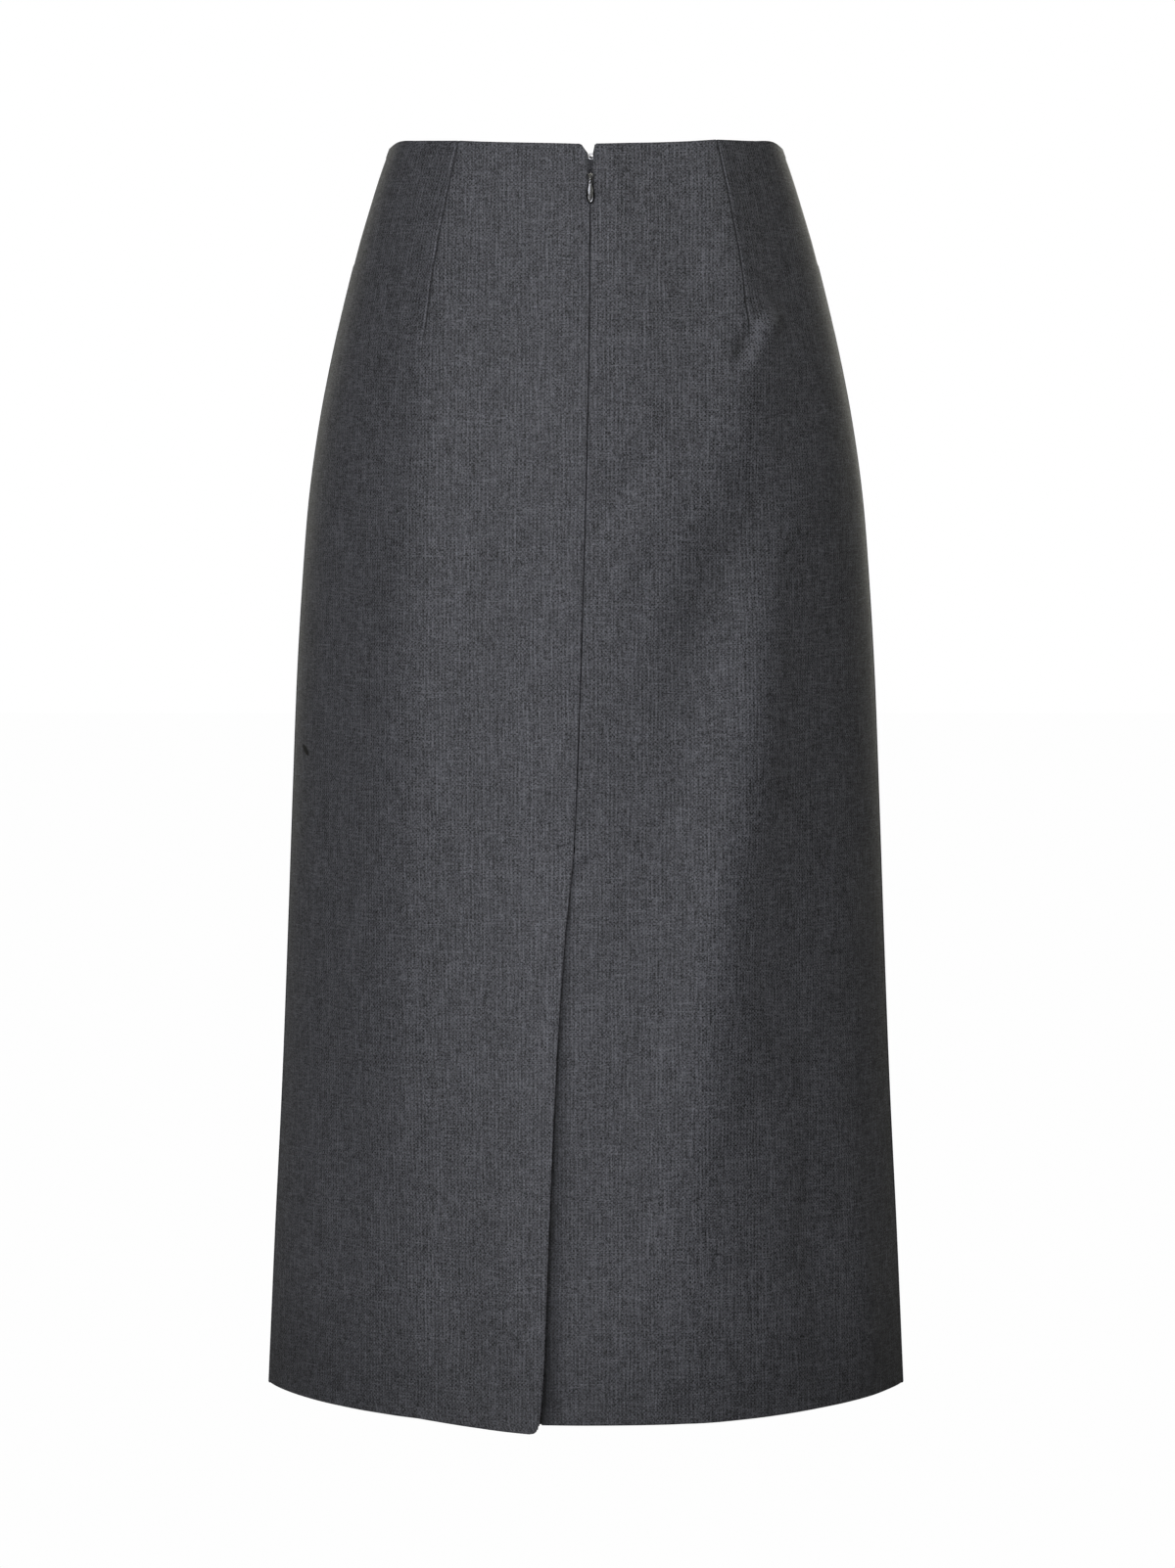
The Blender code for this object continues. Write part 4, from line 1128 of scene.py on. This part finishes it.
# ---- studio
# Soft lamps round the skirt: azimuth 0 is the camera's side and -90 its left, in degrees; metres; watts.
LAMP_AIM = -0.4
COOL = (0.975, 0.985, 1.06)
WARM = (1.0, 0.985, 0.88)
LAMPS = table(
    "name azimuth elevation distance width tall power tint",
    ("front", -6, 5, 3.6, 0.9, 1.6, 28.6, COOL),
    ("key", -18, 12, 3.6, 0.9, 1.6, 13.5, COOL),
    ("left", -30, 5, 3.6, 0.9, 1.6, 3.3, COOL),
    ("far_left", -45, 12, 3.6, 0.9, 1.6, 9.6, WARM),
    ("high", -14, 44, 2.37, 0.8, 0.8, 2.5, COOL),
    ("high_right", 45, 44, 2.37, 0.8, 0.8, 4.7, WARM),
    ("far_side", 172, 10, 4.0, 1.8, 2.0, 34.0, WARM),
    ("far_side_left", -152, 10, 4.0, 1.0, 2.0, 12.0, WARM),
    ("far_side_right", 152, 10, 4.0, 1.0, 2.0, 12.0, WARM),
)
WORLD_LIGHT = 0.088
FLOOR_HEIGHT = -1.25


def add_stage(name, strength, make, **sizes):
    """A glowing floor or backdrop that lights nothing."""
    glow = bpy.data.materials.new(name + "_white")
    glow.use_nodes = True
    nodes = glow.node_tree.nodes
    nodes.clear()
    emit = nodes.new("ShaderNodeEmission")
    emit.inputs["Strength"].default_value = strength
    out = nodes.new("ShaderNodeOutputMaterial")
    glow.node_tree.links.new(emit.outputs["Emission"], out.inputs["Surface"])
    mesh = bpy.data.meshes.new(name)
    work = bmesh.new()
    make(work, **sizes)
    work.to_mesh(mesh)
    work.free()
    mesh.materials.append(glow)
    stage = add_object(name, mesh)
    stage.visible_diffuse = stage.visible_glossy = stage.visible_transmission = stage.visible_shadow = False
    return stage


def make_studio():
    floor = add_stage("floor", 0.99, bmesh.ops.create_grid, x_segments=1, y_segments=1, size=14.0)
    floor.location.z = FLOOR_HEIGHT
    add_stage("backdrop", 1.0, bmesh.ops.create_icosphere, subdivisions=4, radius=15.0)
    world = bpy.data.worlds.new("studio")
    world.use_nodes = True
    background = world.node_tree.nodes["Background"].inputs
    background["Color"].default_value = (*WARM, 1.0)
    background["Strength"].default_value = WORLD_LIGHT
    scene.world = world
    aim = Vector((0.0, 0.0, LAMP_AIM))
    for lamp in LAMPS:
        turn, rise = radians(lamp.azimuth), radians(lamp.elevation)
        flat = cos(rise) * lamp.distance
        place = aim + Vector((sin(turn) * flat, -cos(turn) * flat, sin(rise) * lamp.distance))
        panel = bpy.data.lights.new(lamp.name, "AREA")
        panel.shape = "RECTANGLE"
        panel.size, panel.size_y = lamp.width, lamp.tall
        panel.energy = lamp.power
        panel.color = lamp.tint
        light = add_object(lamp.name, panel)
        light.location = place
        light.rotation_euler = (aim - place).to_track_quat("-Z", "Y").to_euler()
    scene.view_settings.view_transform = "Standard"
    scene.view_settings.look = "None"


# ---- dress the frame
make_studio()
suiting = suiting_material()
# The tape's dark colour is its own, darkened further as painted shade for the zip's shadowed opening.
tape_cloth = mottled_material(
    "zip_tape", (900.0, 900.0, 1800.0), 1.0, (0.3, (0.006, 0.006, 0.007)), (0.7, (0.018, 0.018, 0.020)),
    bump=(0.4, 0.0003), Roughness=0.8, Specular_IOR_Level=0.3)
plated = metal_material("plated_metal", (0.90, 0.90, 0.91), 0.24)
dark_metal = metal_material("slider_metal", (0.42, 0.42, 0.43), 0.08)
# The pull's lacquer is grey; the dark round its rim is painted shade for the rim's dark reflections and shadow.
enamel = mottled_material(  # glossy grey lacquer over metal, darker round the pull's rim
    "pull_enamel", (700.0, 700.0, 700.0), 3.0,
    (0.0, (0.010, 0.010, 0.011)), (0.4, (0.54, 0.545, 0.56)), (0.7, (0.64, 0.645, 0.66)),
    darker="rim_painted_shade", Metallic=0.95, Roughness=0.12)
nylon = mottled_material(
    "zip_coil_nylon", (400.0, 400.0, 900.0), 1.0, (0.35, (0.045, 0.046, 0.050)), (0.65, (0.075, 0.076, 0.082)),
    Roughness=0.35, Specular_IOR_Level=0.5)
thread = mottled_material(
    "sewing_thread", (2500.0, 2500.0, 5200.0), 1.0, (0.35, (0.016, 0.016, 0.018)), (0.65, (0.045, 0.046, 0.050)),
    bump=(0.5, 0.0001), Roughness=0.6, Specular_IOR_Level=0.4)


def finish(piece, material):
    piece.data.materials.clear()
    piece.data.materials.append(material)


def dress(piece, body, material, slot, *nodes):
    """Give a piece its finish and body, and let it stand for its CAD nodes, which are hidden; slot is not used.
    """
    finish(piece, material)
    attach(piece, body)
    for node in nodes:
        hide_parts(node)


# Each sheet's cut is its width at its widest and its full length, in metres.
for shell, node, material, slot, flat, carrier in (
    (make_panel(-1, "skirt_back_left", 0.31), "back_left_panel", suiting, "suiting", (0.29, 0.834),
     "zip_tape_strip_left"),
    (make_panel(1, "skirt_back_right", 0.62), "back_right_panel", suiting, "suiting", (0.34, 0.834),
     "zip_tape_strip_right"),
    (make_panel(0, "skirt_front", 0.93), "front_panel", suiting, "suiting", (0.545, 0.834), "skirt_back_left"),
    (make_tape(-1, "zip_tape_strip_left"), "zip_tape_left", tape_cloth, "zip_tape", (0.012, 0.198),
     "skirt_back_left"),
    (make_tape(1, "zip_tape_strip_right"), "zip_tape_right", tape_cloth, "zip_tape", (0.012, 0.198),
     "skirt_back_right"),
):
    dress(shell, "skirt", material, slot, node)

eye, hook = make_eye_and_hook()
dress(make_pull(), "pull_tab", enamel, "pull_enamel", "zip_pull")
dress(make_coil(), "skirt", nylon, "zip_coil", "zip_chain")
dress(eye, "skirt", plated, "wire_metal", "eye")
dress(hook, "skirt", plated, "wire_metal", "hook")
dress(make_bar_tack(), "skirt", thread, "suiting")
finish(frame["nodes"]["zip_slider"], dark_metal)
